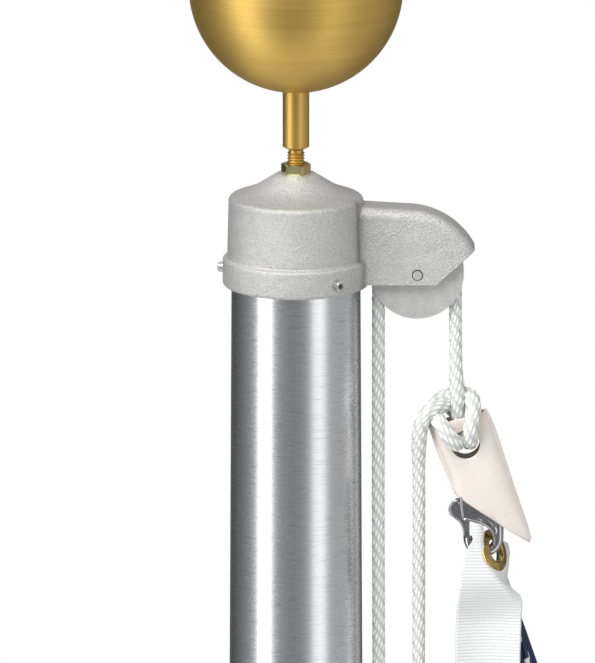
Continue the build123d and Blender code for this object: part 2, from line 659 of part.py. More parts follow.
def hitch_ring(foot_x, lean, reach):
    """One turn of rope through the cover's hole and over its upper edge."""
    ex, ez = eye_centre()
    across = (0, 1, 0)
    up = (sin(radians(lean)), 0, cos(radians(lean)))
    half = COVER_THICKNESS / 2 + ROPE_GAP + ROPE_DIAMETER / 2
    plane = Plane(origin=head(foot_x + up[0] * reach / 2, ez + up[2] * reach / 2),
                  x_dir=across,
                  z_dir=(-up[2], 0, up[0]))
    outline = plane * RectangleRounded(2 * half, reach, ROPE_DIAMETER * HITCH_CORNER)
    wire = outline.wire()
    tell_rope("turn of a hitch, one of two alike", wire)
    return sweep(Plane(origin=wire @ 0, z_dir=wire % 0) * Circle(ROPE_DIAMETER / 2),
                 path=wire)


def make_top_hitch():
    ex, _ = eye_centre()
    step = ROPE_DIAMETER / 2 + ROPE_GAP / 2
    return [hitch_ring(ex + side * step, lean, reach) for side, lean, reach in HITCH_TURNS]


def cleat_x(turn):
    return BUTT_DIAMETER / 2 + CLEAT_FIRST_TURN + turn * CLEAT_TURN_PITCH


def make_hoist_fall():
    """From the cleat up beside the shaft, over the sheave and down to the hitch."""
    pitch = rope_pitch_radius()
    top_z = CAP_FOOT + SHEAVE_LEVEL
    side = CLEAT_STEM_WIDTH / 2 + CLEAT_LEAD_SIDE
    ring_top = CLEAT_HEIGHT + cleat_ring_half_height() + ROPE_DIAMETER / 2 + ROPE_GAP
    inner, outer = SHEAVE_REACH - pitch, SHEAVE_REACH + pitch
    up = FilletPolyline(
        (cleat_x(1), -side, ring_top), (cleat_x(1), -side, ring_top + CLEAT_LEAD),
        (inner, 0, CAP_FOOT - HOIST_LEAD_DROP), (inner, 0, top_z), radius=HOIST_BENDS)
    over = ThreePointArc((inner, 0, top_z), (SHEAVE_REACH, 0, top_z + pitch), (outer, 0, top_z))
    down = Line((outer, 0, top_z), head(outer, -HOIST_END_DROP))
    path = Wire([*up.edges(), over, down])
    tell_rope("hoist fall", path)
    return tube_on(path, ROPE_DIAMETER / 2)


def cleat_ring_half_height():
    return CLEAT_STEM_HEIGHT / 2 + ROPE_DIAMETER / 2 + CLEAT_TURN_GAP


def make_flag_fall():
    top = FilletPolyline(
        *[head(x, z) for x, z in FLAG_FALL_START], (FLAG_FALL_X, 0, flag_middle()),
        radius=FLAG_FALL_BENDS)
    upper = tube_on(top, ROPE_DIAMETER / 2)
    tell_rope("flag fall", top, 2)
    return upper + mirrored(upper)


def make_cleat_fall():
    outer = SHEAVE_REACH + rope_pitch_radius()
    side = CLEAT_STEM_WIDTH / 2 + CLEAT_LEAD_SIDE
    ring_top = CLEAT_HEIGHT + cleat_ring_half_height() + ROPE_DIAMETER / 2 + ROPE_GAP
    start = 2 * flag_middle() - (CAP_FOOT - HOIST_END_DROP)
    path = FilletPolyline(
        (outer, 0, start), (outer, 0, start - CLEAT_LEAD),
        (cleat_x(0), side, ring_top + CLEAT_LEAD), (cleat_x(0), side, ring_top),
        radius=HOIST_BENDS[0])
    tell_rope("cleat fall", path)
    return tube_on(path, ROPE_DIAMETER / 2)


def make_cleat_turns():
    """Turns of the halyard belayed round the cleat's stem, under its horns."""
    half_width = CLEAT_STEM_WIDTH / 2 + ROPE_DIAMETER / 2 + CLEAT_TURN_GAP
    half_height = cleat_ring_half_height()
    turns = []
    for turn in (0, 1):
        outline = Plane(origin=(cleat_x(turn), 0, CLEAT_HEIGHT), x_dir=(0, 1, 0),
                        z_dir=(1, 0, 0)) * RectangleRounded(
            2 * half_width, 2 * half_height, half_width * CLEAT_TURN_CORNER)
        wire = outline.wire()
        tell_rope(f"cleat turn {turn + 1}", wire)
        turns.append(sweep(
            Plane(origin=wire @ 0, z_dir=wire % 0) * Circle(ROPE_DIAMETER / 2), path=wire))
    return turns


def make_cleat():
    surface = BUTT_DIAMETER / 2
    horn = surface + CLEAT_HORN_STANDOUT
    half, stem = CLEAT_LENGTH / 2, CLEAT_STEM_HEIGHT / 2
    inner, outer = horn + CLEAT_HORN_FLARE, horn + CLEAT_HORN_THICKNESS
    pad = Pos(surface, 0, 0) * Box(
        2 * CLEAT_PAD_THICKNESS, CLEAT_PAD_WIDTH, CLEAT_PAD_HEIGHT)
    post = Pos(surface, 0, 0) * Box(
        2 * (CLEAT_HORN_STANDOUT + 2), CLEAT_STEM_WIDTH, CLEAT_STEM_HEIGHT)
    post = fillet(post.edges().filter_by(Axis.X), CLEAT_STEM_WIDTH / 3)
    bar = side_plate(Polyline(
        (horn, stem + CLEAT_HORN_ROOT), (inner, half), (inner + CLEAT_HORN_TIP, half),
        (outer, stem), (outer, -stem), (inner + CLEAT_HORN_TIP, -half), (inner, -half),
        (horn, -stem - CLEAT_HORN_ROOT), close=True), CLEAT_HORN_THICKNESS)
    cleat = pad + post + bar
    cleat = cleat - rod((0, 0, -half), (0, 0, 1), surface + CLEAT_SEAT_CLEARANCE, 2 * half)
    for side in (1, -1):
        cleat = cleat - rod((surface - 5, 0, side * CLEAT_SCREW_SPACING / 2), (1, 0, 0),
                            CLEAT_SCREW_DIAMETER / 2 + THREAD_CLEARANCE, 30)
    return Pos(0, 0, CLEAT_HEIGHT) * cleat


def make_cleat_screw(side):
    surface = BUTT_DIAMETER / 2
    seat = surface + CLEAT_PAD_THICKNESS
    height = CLEAT_HEIGHT + side * CLEAT_SCREW_SPACING / 2
    shank = rod((surface + CLEAT_SEAT_CLEARANCE, 0, height), (1, 0, 0),
                CLEAT_SCREW_DIAMETER / 2, CLEAT_PAD_THICKNESS)
    cap = rod((seat, 0, height), (1, 0, 0), CLEAT_SCREW_HEAD / 2, CLEAT_SCREW_HEAD_THICKNESS)
    cap = fillet(cap.edges().sort_by(Axis.X)[-1:], CLEAT_SCREW_HEAD_ROUNDING)
    return shank + cap


def save(shape, name):
    if isinstance(shape, list):
        shape = Compound(children=shape)
    export_step(shape, f"parts/{name}.step")


def main():
    os.makedirs("parts", exist_ok=True)
    save(make_shaft(), "shaft")
    save(make_flash_collar(), "flash_collar")
    save(make_truck_cap(), "truck_cap")
    save(make_sheave(), "sheave")
    save(make_sheave_pin(), "sheave_pin")
    for number, angle in enumerate(SET_SCREW_ANGLES, start=1):
        save(make_set_screw(angle), f"set_screw_{number}")
    save(make_jam_nut(), "jam_nut")
    save(make_ball_spindle(), "ball_spindle")
    save(make_ball(), "ball")

    corner_pieces = {
        "snap_hook": make_snap_hook(), "snap_gate": make_snap_gate(),
        "gate_pin": make_snap_pin(), "snap_cover": make_snap_cover(),
        "grommet": make_grommet()}
    for name, piece in corner_pieces.items():
        save(piece, f"upper_{name}")
        save(mirrored(piece), f"lower_{name}")
    hitch = make_top_hitch()
    save(hitch, "halyard_upper_hitch")
    save([mirrored(ring) for ring in hitch], "halyard_lower_hitch")
    save(make_heading(), "flag_heading")
    save(make_flag_cloth(), "flag_cloth")

    save(make_hoist_fall(), "halyard_hoist_fall")
    save(make_flag_fall(), "halyard_flag_fall")
    save(make_cleat_fall(), "halyard_cleat_fall")
    save(make_cleat_turns(), "halyard_cleat_turns")
    save(make_cleat(), "cleat")
    save(make_cleat_screw(1), "cleat_screw_upper")
    save(make_cleat_screw(-1), "cleat_screw_lower")


main()
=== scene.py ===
from math import cos, pi, radians, sin

import bmesh
import bpy
import numpy as np
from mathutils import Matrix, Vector


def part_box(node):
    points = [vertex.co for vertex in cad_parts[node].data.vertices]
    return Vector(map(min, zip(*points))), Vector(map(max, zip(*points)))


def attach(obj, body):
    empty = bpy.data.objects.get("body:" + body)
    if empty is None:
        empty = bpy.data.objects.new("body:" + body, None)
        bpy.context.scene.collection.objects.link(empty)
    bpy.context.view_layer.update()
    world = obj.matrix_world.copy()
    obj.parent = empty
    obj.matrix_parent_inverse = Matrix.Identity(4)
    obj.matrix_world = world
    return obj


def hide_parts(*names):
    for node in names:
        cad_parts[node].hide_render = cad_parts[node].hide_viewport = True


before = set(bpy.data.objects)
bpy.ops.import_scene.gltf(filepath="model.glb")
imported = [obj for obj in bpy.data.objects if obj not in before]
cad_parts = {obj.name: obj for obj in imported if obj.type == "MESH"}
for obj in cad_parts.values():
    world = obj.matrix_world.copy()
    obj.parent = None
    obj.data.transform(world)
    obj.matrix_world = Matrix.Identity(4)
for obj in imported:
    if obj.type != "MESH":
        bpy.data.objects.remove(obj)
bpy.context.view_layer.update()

# Camera: a long lens well off the pole and a little above the truck, looking down at it. The
# ball's top and the lower shaft run out of the frame.
CAMERA_AIM = Vector((0.0009, 0.0, 9.0665))
CAMERA_DISTANCE = 7.0
CAMERA_DIP = radians(13.5)
CAMERA_VIEW_HEIGHT = 0.3945
SENSOR_HEIGHT = 36.0

lens = bpy.data.cameras.new("camera")
lens.lens = SENSOR_HEIGHT * CAMERA_DISTANCE / CAMERA_VIEW_HEIGHT
lens.clip_end = 200.0
camera = bpy.data.objects.new("camera", lens)
camera.location = CAMERA_AIM + CAMERA_DISTANCE * Vector((0.0, -cos(CAMERA_DIP), sin(CAMERA_DIP)))
camera.rotation_euler = (pi / 2 - CAMERA_DIP, 0.0, 0.0)
bpy.context.scene.collection.objects.link(camera)
bpy.context.scene.camera = camera


# Halyard: one white solid braid rope of 8 mm. It is belayed on the cleat, runs up beside the
# shaft and over the sheave, is hitched to the upper snap, drops to the lower snap, is hitched
# there the same way, and comes back to the cleat.
ROPE_RADIUS = 0.004
ROPE_FACETS = 40
FINE_STEP, PLAIN_STEP = 0.001, 0.02
STITCH_LENGTH = 0.0080
STITCHES_AROUND = 7
STITCH_SKEW = -3
STITCH_DEPTH = 0.0005
STITCH_ROUNDNESS = 0.8
SEAM_FADE = 0.02
THREADS_ACROSS, THREADS_ALONG = 2600.0, 260.0
KNOTS = ((0.092, 0.0, 9.0115), (0.092, 0.0, 7.6685))
KNOT_SWELL = 0.20
KNOT_REACH, KNOT_FADE = 0.033, 0.010
WELD, SLIVER = 1e-6, 1e-7
FIXED_WAY = (0.31, 0.17, 0.23)
CAP_FOOT = 9.0955
FLAG_MIDDLE = 8.34
ROPE_WHITE = (0.97, 0.97, 0.95, 1.0)
# ROPE_SHADE is painted shade: the colour of the braid's seams.
ROPE_SHADE = (0.52, 0.54, 0.53, 1.0)


class Socket:
    """One output in a material's nodes. Sums and products of it add Math nodes."""

    def __init__(self, tree, output):
        self.tree, self.output = tree, output

    def node(self, kind, sockets, out=0, **settings):
        """Adds a node of that type: its settings first, then each socket's value or link."""
        made = self.tree.nodes.new("ShaderNode" + kind)
        for setting, value in settings.items():
            if setting == "stops":
                ramp = made.color_ramp.elements
                while len(ramp) < len(value):
                    ramp.new(1.0)
                for element, (place, colour) in zip(ramp, value):
                    element.position, element.color = place, colour
            else:
                setattr(made, setting, value)
        for socket, value in sockets.items():
            if isinstance(value, Socket):
                self.tree.links.new(value.output, made.inputs[socket])
            else:
                made.inputs[socket].default_value = value
        return Socket(self.tree, made.outputs[out]) if made.outputs else None

    def maths(self, operation, *others):
        """A Math node of this socket, and of the others if its operation takes more than one."""
        return self.node("Math", dict(enumerate((self, *others))), operation=operation)

    def __add__(self, other):
        return self.maths("ADD", other)

    def __sub__(self, other):
        return self.maths("SUBTRACT", other)

    def __rsub__(self, other):
        return self.node("Math", {0: other, 1: self}, operation="SUBTRACT")

    def __mul__(self, other):
        return self.maths("MULTIPLY", other)

    def __truediv__(self, other):
        return self.maths("DIVIDE", other)

    def __pow__(self, other):
        return self.maths("POWER", other)

    __radd__, __rmul__ = __add__, __mul__

    def axis(self, letter):
        """X, Y or Z of a vector socket."""
        return self.node("SeparateXYZ", {0: self}, out="XYZ".index(letter))

    def stretched(self, x, y, z):
        """A place with each direction multiplied by its own number."""
        return self.node("VectorMath", {0: self, 1: (x, y, z)}, operation="MULTIPLY")

    def noise(self, scale, detail=2.0, roughness=0.5):
        return self.node("TexNoise", {"Vector": self, "Scale": scale, "Detail": detail,
                                      "Roughness": roughness})

    def ramp(self, *stops):
        """A grey ramp: pairs of place and brightness."""
        return self.node("ValToRGB", {0: self},
                         stops=[(place, (grey, grey, grey, 1.0)) for place, grey in stops])

    def mix(self, low, high):
        """The colour low where this factor is 0, high where it is 1."""
        return self.node("Mix", {0: self, 6: low, 7: high}, out=2, data_type="RGBA")

    def bump(self, depth, strength, normal=None):
        """This height as a bump of the given depth in metres."""
        sockets = {"Height": self, "Distance": depth, "Strength": strength}
        if normal:
            sockets["Normal"] = normal
        return self.node("Bump", sockets)


def finish(name, look, **constants):
    """A material of one Principled shader. look(place, uv) gives the sockets that vary."""
    material = bpy.data.materials.new(name)
    material.use_nodes = True
    tree = material.node_tree
    tree.nodes.clear()
    coordinates = tree.nodes.new("ShaderNodeTexCoord").outputs
    place = Socket(tree, coordinates["Object"])
    varying = look(place, Socket(tree, coordinates["UV"]))
    fixed = {socket.replace("_", " "): value for socket, value in constants.items()}
    shader = place.node("BsdfPrincipled", {**fixed, **varying})
    shader.node("OutputMaterial", {"Surface": shader})
    return material


def surface(name, points, material, round_rows=False, round_columns=False, uv=None, kept=None):
    """The quads between the rows and columns of a grid of points, as one smooth mesh object.
    A round direction joins its last line to its first. uv has a point more in such a direction.
    kept says which quads stay, where some are left open."""
    rows, columns = points.shape[:2]
    index = np.arange(rows * columns).reshape(rows, columns)
    place = np.arange((rows + round_rows) * (columns + round_columns))
    place = place.reshape(rows + round_rows, columns + round_columns)
    if round_rows:
        index = np.vstack([index, index[:1]])
    if round_columns:
        index = np.hstack([index, index[:, :1]])
    corners = [(slice(None, -1), slice(None, -1)), (slice(1, None), slice(None, -1)),
               (slice(1, None), slice(1, None)), (slice(None, -1), slice(1, None))]
    quads = np.stack([index[corner] for corner in corners], -1).reshape(-1, 4)
    kept = np.ones(len(quads), bool) if kept is None else kept.ravel()
    quads = quads[kept]
    mesh = bpy.data.meshes.new(name)
    mesh.from_pydata(points.reshape(-1, 3), [], quads)
    if uv is not None:
        spots = np.stack([place[corner] for corner in corners], -1).reshape(-1, 4)[kept].ravel()
        layer = mesh.uv_layers.new(name="UVMap")
        layer.data.foreach_set("uv", uv.reshape(-1, 2)[spots].ravel())
    mesh.polygons.foreach_set("use_smooth", np.ones(len(quads), bool))
    mesh.materials.append(material)
    made = bpy.data.objects.new(name, mesh)
    bpy.context.scene.collection.objects.link(made)
    return made


def seal(piece):
    """Merges the doubled points of poles and seams, and turns the faces outwards."""
    shape = bmesh.new()
    shape.from_mesh(piece.data)
    bmesh.ops.remove_doubles(shape, verts=shape.verts, dist=WELD)
    bmesh.ops.dissolve_degenerate(shape, edges=shape.edges, dist=SLIVER)
    bmesh.ops.recalc_face_normals(shape, faces=shape.faces)
    shape.to_mesh(piece.data)
    shape.free()
    return piece


def smooth_line(route):
    """The points that a NURBS spline of order 3 gives between its control points."""
    curve = bpy.data.curves.new("route", "CURVE")
    curve.dimensions = "3D"
    curve.resolution_u = 32
    spline = curve.splines.new("NURBS")
    spline.points.add(len(route) - 1)
    spline.points.foreach_set("co", np.column_stack([route, np.ones(len(route))]).ravel())
    spline.order_u = 3
    spline.use_endpoint_u = True
    holder = bpy.data.objects.new("route", curve)
    mesh = bpy.data.meshes.new_from_object(holder)
    line = np.empty(len(mesh.vertices) * 3)
    mesh.vertices.foreach_get("co", line)
    bpy.data.objects.remove(holder)
    bpy.data.meshes.remove(mesh)
    return line.reshape(-1, 3)


def along(line, step):
    """Stations on a line whose spacing is given for each of its points, and how far each is."""
    runs = np.linalg.norm(np.diff(line, axis=0), axis=1)
    reach = np.concatenate([[0.0], np.cumsum(runs)])
    count = np.concatenate([[0.0], np.cumsum(runs / ((step[1:] + step[:-1]) / 2))])
    wanted = np.linspace(0.0, count[-1], int(count[-1]) + 2)
    distance = np.interp(wanted, count, reach)
    return np.stack([np.interp(distance, reach, line[:, k]) for k in range(3)], 1), distance


def carried_frames(stations):
    """Two directions across a line at each station, which turn with it and don't spin. Each
    frame is first taken from one fixed direction; the spin between neighbours is then summed
    and taken off."""
    ahead = np.gradient(stations, axis=0)
    ahead /= np.linalg.norm(ahead, axis=1, keepdims=True)
    across = np.cross(ahead, FIXED_WAY)
    across /= np.linalg.norm(across, axis=1, keepdims=True)
    beside = np.cross(ahead, across)
    before, after = ahead[:-1], ahead[1:]
    lean = (across[:-1] * after).sum(1) / (1.0 + (before * after).sum(1))
    moved = across[:-1] - lean[:, None] * (before + after)
    spin = np.arctan2((moved * beside[1:]).sum(1), (moved * across[1:]).sum(1))
    spin = np.concatenate([[0.0], np.cumsum(spin)])[:, None]
    return (across * np.cos(spin) + beside * np.sin(spin),
            beside * np.cos(spin) - across * np.sin(spin))


def stitch_relief(turn, distance):
    """How high the braid stands, 0 in the seams to 1 on a stitch. Two families of seams cross:
    the product of two cosines, one rising to the left and one to the right, is high between
    them. They differ by the skew in number, so that the stitches lean."""
    rising = (STITCHES_AROUND + STITCH_SKEW) * turn / 2 + pi * distance / STITCH_LENGTH
    falling = (STITCHES_AROUND - STITCH_SKEW) * turn / 2 - pi * distance / STITCH_LENGTH
    return np.abs(np.cos(rising) * np.cos(falling)) ** STITCH_ROUNDNESS


def rope_look(place, uv):
    """The same stitches as the relief, read from the rope's own map: turns and metres."""
    turn = uv.axis("X") * (2 * pi)
    distance = uv.axis("Y") * (pi / STITCH_LENGTH)
    rising = turn * ((STITCHES_AROUND + STITCH_SKEW) / 2) + distance
    falling = turn * ((STITCHES_AROUND - STITCH_SKEW) / 2) - distance
    height = (rising.maths("COSINE") * falling.maths("COSINE")).maths("ABSOLUTE")
    threads = uv.stretched(THREADS_ACROSS * ROPE_RADIUS * 2 * pi, THREADS_ALONG, 1.0)
    threads = threads.noise(1.0, 3.0)
    # Painted shade: the seams between the stitches are painted darker, towards ROPE_SHADE.
    tint = (height ** 1.8 * 1.25 + threads * 0.2).mix(ROPE_SHADE, ROPE_WHITE)
    return {"Base Color": tint, "Normal": (height + threads * 0.35).bump(0.0004, 0.6)}


rope_finish = finish("halyard rope", rope_look, Roughness=0.42, Specular_IOR_Level=0.5)


def grid(*parts):
    """Arrays that broadcast to one shape, as the coordinates of a grid of points."""
    return np.stack(np.broadcast_arrays(*parts), -1)


def inside(heights, spans):
    """How far inside one of these spans each height is, negative outside them all."""
    return np.max([np.minimum(heights - low, high - heights) for low, high in spans], axis=0)


def rope(name, route, fine_spans, *nodes):
    """A braided rope along a route: circles of the rope's radius about the smooth line, wider
    near the knots, where it is slack, and drawn in at the seams. Inside the fine spans, between
    two heights, stations are close together and the seams are cut; elsewhere it is plain."""
    line = smooth_line(np.array(route))
    near = inside(line[:, 2], fine_spans) > 0.0
    stations, distance = along(line, np.where(near, FINE_STEP, PLAIN_STEP))
    across, beside = carried_frames(stations)
    turn = np.linspace(0.0, 2 * pi, ROPE_FACETS, endpoint=False)[None, :]
    from_knot = np.minimum(*[np.linalg.norm(stations - knot, axis=1) for knot in KNOTS])
    swell = KNOT_SWELL * np.clip((KNOT_REACH - from_knot) / KNOT_FADE, 0.0, 1.0)
    cut = STITCH_DEPTH * np.clip(inside(stations[:, 2], fine_spans) / SEAM_FADE, 0.0, 1.0)
    radius = ROPE_RADIUS * (1.0 + swell[:, None])
    radius = radius - cut[:, None] * (1.0 - stitch_relief(turn, distance[:, None]))
    radius[[0, -1]] = 0.0
    skin = (stations[:, None] + across[:, None] * (radius * np.cos(turn))[..., None]
            + beside[:, None] * (radius * np.sin(turn))[..., None])
    uv = grid(np.linspace(0.0, 1.0, ROPE_FACETS + 1)[None, :], distance[:, None])
    made = seal(surface(name, skin, rope_finish, round_columns=True, uv=uv))
    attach(made, "pole")
    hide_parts(*nodes)


def from_cap(points):
    """Millimetres from the pole's axis and the cap's foot, as metres from the ground."""
    return np.array(points) / 1000 + (0.0, 0.0, CAP_FOOT)


def mirrored(points):
    """The same points as far below the flag's middle as they were above it."""
    return points * (1.0, 1.0, -1.0) + (0.0, 0.0, 2 * FLAG_MIDDLE)


# Millimetres from the pole's axis and the cap's foot. The rope's line over the sheave is an
# octagon that the smooth line rounds.
SHEAVE_X, SHEAVE_Z = 72.0, 8.5
INNER_FALL, OUTER_FALL = 49.05, 94.95
GROOVE_RADIUS = 22.95
GROOVE_CORNER = 9.5
UPPER_HITCH = from_cap([
    (97.6, 2, -84.0), (97.8, 1, -94.0), (96.0, -7, -97.0), (93.0, -11.5, -93.0),
    (88.5, -12.5, -86.5), (84.0, -8.0, -80.5), (81.2, 2, -78.0), (83.5, 9.5, -74.5),
    (90.5, 12.5, -71.5), (99.0, 9.5, -69.3), (104.4, 1.5, -68.6), (106.0, -7.5, -73.5),
    (104.6, -11.5, -81.0), (104.0, -12, -88.0), (103.9, -6, -94.8), (103.4, 5, -98.5),
    (100.5, 12, -94.5), (96.8, 11.5, -84.0), (92.0, 8.0, -76.0), (86.8, -2.0, -73.6),
    (79.4, -8.5, -74.6), (74.6, -7.5, -82.5), (73.1, -4, -95.7), (73.3, 0, -113.8),
    (73.5, 0, -138.3)])
LOWER_HITCH = mirrored(UPPER_HITCH[::-1])

# Metres from the ground and the axis: the falls' ends at the cleat and below the lower hitch, the
# turns on the cleat, and the heights between which the braid is seen close up.
CLEAT_MIDDLE = 1.35
CLEAT_TOP = 1.3788
CLEAT_RISE = 0.06
CLEAT_SIDE = 0.0105
INNER_TURN, OUTER_TURN = 0.0763, 0.085
LOWER_FALL_TOP, LOWER_FALL_BEND = 7.6641, 7.6
RING_CORNERS = [(-0.008, 0.0245), (0.008, 0.0245), (0.0135, 0.018), (0.0135, -0.018),
                (0.008, -0.0245), (-0.008, -0.0245), (-0.0135, -0.018), (-0.0135, 0.018)]
AT_TRUCK, AT_UPPER_SNAP, AT_LOWER_SNAP, AT_CLEAT = (8.8, 9.2), (8.82, 9.2), (7.4, 7.8), (1.2, 1.5)

rope("halyard_hoist", np.vstack([
    [(OUTER_TURN, -CLEAT_SIDE, CLEAT_TOP), (OUTER_TURN, -CLEAT_SIDE, CLEAT_TOP + CLEAT_RISE)],
    from_cap([
        (INNER_FALL, 0, -160), (INNER_FALL, 0, -60),
        (INNER_FALL, 0, SHEAVE_Z - GROOVE_CORNER), (INNER_FALL, 0, SHEAVE_Z + GROOVE_CORNER),
        (SHEAVE_X - GROOVE_CORNER, 0, SHEAVE_Z + GROOVE_RADIUS),
        (SHEAVE_X + GROOVE_CORNER, 0, SHEAVE_Z + GROOVE_RADIUS),
        (OUTER_FALL, 0, SHEAVE_Z + GROOVE_CORNER), (OUTER_FALL, 0, SHEAVE_Z - GROOVE_CORNER),
        (94.8, 0, -28.1), (95.4, 0, -55.6), (96.3, 0, -74.0), (97.6, 1, -86.5),
        (98.0, 1, -91.0)])]),
    [AT_TRUCK], "halyard_hoist_fall")
rope("halyard_hitches", np.vstack([UPPER_HITCH, LOWER_HITCH]), [AT_UPPER_SNAP, AT_LOWER_SNAP],
     "halyard_upper_hitch", "halyard_flag_fall", "halyard_lower_hitch")
rope("halyard_down", [
    (OUTER_FALL / 1000, 0.0, LOWER_FALL_TOP), (OUTER_FALL / 1000, 0.0, LOWER_FALL_BEND),
    (INNER_TURN, CLEAT_SIDE, CLEAT_TOP + CLEAT_RISE), (INNER_TURN, CLEAT_SIDE, CLEAT_TOP)],
    [AT_LOWER_SNAP], "halyard_cleat_fall")
for number, ring_x in enumerate((INNER_TURN, OUTER_TURN), 1):
    ring = [(ring_x, y, CLEAT_MIDDLE + z) for y, z in RING_CORNERS + RING_CORNERS[:2]]
    rope(f"halyard_turn_{number}", ring, [AT_CLEAT], "halyard_cleat_turns")


# Shaft: one aluminium tube, straight below and drawn to a taper above, brushed around and left
# bare. It runs up into the truck, which is clamped on it.
SHAFT_TOP = 9.144
TAPER_LENGTH = 4.267
BUTT_RADIUS = 0.0635
TOP_RADIUS = 0.0381
SHAFT_WALL = 0.0032
SHAFT_RIM = 0.001
BUTT_RINGS, TAPER_RINGS = 12, 40
LATHE_FACETS = 160
BRUSH_LENGTH = 0.012
BRUSH_WIDTH = 0.00042


def turned(profile, facets):
    """A profile of radius and height pairs, turned once about the pole's axis."""
    angle = np.linspace(0.0, 2 * pi, facets, endpoint=False)
    radius, height = np.array(profile).T
    return grid(radius[:, None] * np.cos(angle), radius[:, None] * np.sin(angle), height[:, None])


def lathe(name, profile, material):
    """A sealed piece turned from a closed profile. Its own map is in metres, around the widest
    circle and along the profile."""
    ring = np.vstack([profile, profile[:1]])
    up = np.concatenate([[0.0], np.cumsum(np.hypot(*np.diff(ring, axis=0).T))])
    around = np.linspace(0.0, 2 * pi, LATHE_FACETS + 1) * ring[:, 0].max()
    return seal(surface(name, turned(profile, LATHE_FACETS), material, True, True,
                        uv=grid(around[None, :], up[:, None])))


def brushed_look(place, uv):
    """Short brush marks around the tube: noise drawn out along the first map direction."""
    marks = uv.stretched(1 / BRUSH_LENGTH, 1 / BRUSH_WIDTH, 1.0).noise(1.0, 3.0, 0.6)
    flecks = uv.stretched(0.5 / BRUSH_LENGTH, 0.8 / BRUSH_WIDTH, 1.0).noise(1.0, 2.0)
    cloud = place.noise(14.0)
    tone = (marks * 0.5 + cloud * 0.35).mix((0.60, 0.61, 0.62, 1.0), (0.82, 0.83, 0.84, 1.0))
    tone = (flecks.ramp((0.56, 0.0), (0.70, 1.0)) * 0.5).mix(tone, (0.33, 0.34, 0.36, 1.0))
    return {"Base Color": tone, "Roughness": marks * 0.16 + 0.2,
            "Normal": marks.bump(0.00003, 0.5)}


brushed = finish("brushed aluminium", brushed_look, Metallic=1.0)
# A ring close to each end keeps the flat ends out of the sides' smooth shading.
taper_foot = SHAFT_TOP - TAPER_LENGTH
levels = np.concatenate([[0.0], np.linspace(SHAFT_RIM, taper_foot, BUTT_RINGS),
                         np.linspace(taper_foot, SHAFT_TOP - SHAFT_RIM, TAPER_RINGS)[1:],
                         [SHAFT_TOP]])
taper = np.clip((SHAFT_TOP - levels) / TAPER_LENGTH, 0.0, 1.0)
skin = np.column_stack([TOP_RADIUS + (BUTT_RADIUS - TOP_RADIUS) * taper, levels])
shaft = lathe("pole_shaft", np.vstack([skin, (skin - (SHAFT_WALL, 0.0))[::-1]]), brushed)
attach(shaft, "pole")
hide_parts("shaft")


# Flash collar: a spun aluminium ring on the ground that hides the joint. It is finely ringed by
# the spinning tool.
SPIN_RINGS = 900.0


def spun_look(place, uv):
    """Fine rings about the axis: noise over distance from the axis and height."""
    reach = (place.axis("X") ** 2.0 + place.axis("Y") ** 2.0) ** 0.5
    ring = place.node("CombineXYZ", {"X": reach * SPIN_RINGS, "Z": place.axis("Z") * SPIN_RINGS})
    ring = ring.noise(1.0, 2.0)
    tone = ring.mix((0.66, 0.67, 0.68, 1.0), (0.80, 0.81, 0.82, 1.0))
    return {"Base Color": tone, "Roughness": ring * 0.1 + 0.26,
            "Normal": ring.bump(0.00004, 0.5)}


def dress(material, *nodes):
    """Gives CAD nodes a finish in place of their plain one."""
    for node in nodes:
        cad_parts[node].data.materials.clear()
        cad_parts[node].data.materials.append(material)


dress(finish("spun aluminium", spun_look, Metallic=1.0), "flash_collar")


# Truck: cap, collar ring and hood are one sand casting of aluminium, trimmed and left as cast.
# The sand leaves a fine grain all over and softer dimples.
CROWN_FOOT = 0.054
CROWN_BLEND = 0.0125
HOOD_CORNER = (0.0378, 0.0165)
CREASE_SHARPNESS = 75000.0


def cast_look(place, uv):
    """Sand grain and slow dimples as noise at three scales, painted shade with a little grime in
    the crease where the hood meets the cap, by the distance from that corner, and painted light
    that makes the crown paler, by the height above its shoulder."""
    grain = place.noise(2300.0, 2.0, 0.6)
    pits = place.noise(900.0, 2.0, 0.5)
    dimples = place.noise(120.0, 2.0)
    cloud = place.noise(45.0, 3.0)
    speck = grain.ramp((0.36, 0.0), (0.64, 1.0)) * 0.4 + pits.ramp((0.40, 0.0), (0.62, 1.0)) * 0.25
    speck = speck + cloud * 0.35
    tone = speck.mix((0.36, 0.36, 0.355, 1.0), (0.73, 0.73, 0.72, 1.0))
    # Painted light: the crown above its shoulder is painted paler, as light from above falls on it.
    crown_painted_light = speck.mix((0.47, 0.475, 0.48, 1.0), (0.86, 0.865, 0.87, 1.0))
    tone = ((place.axis("Z") - CAP_FOOT - CROWN_FOOT) / CROWN_BLEND).mix(tone, crown_painted_light)
    # Painted shade, with a little grime: the crease where the hood meets the cap is painted dark.
    x = place.axis("X") - HOOD_CORNER[0]
    y = place.axis("Y").maths("ABSOLUTE") - HOOD_CORNER[1]
    crease_grime_and_shade = ((x * x + y * y) * -CREASE_SHARPNESS).maths("EXPONENT")
    tone = (crease_grime_and_shade * 0.6).mix(tone, (0.12, 0.12, 0.12, 1.0))
    height = grain * 0.6 + pits * 1.2
    return {"Base Color": tone, "Roughness": pits * 0.15 + 0.42,
            "Normal": height.bump(0.0006, 0.8, dimples.bump(0.0016, 0.4))}


cast = finish("sand cast aluminium", cast_look, Metallic=0.65)
dress(cast, "truck_cap")


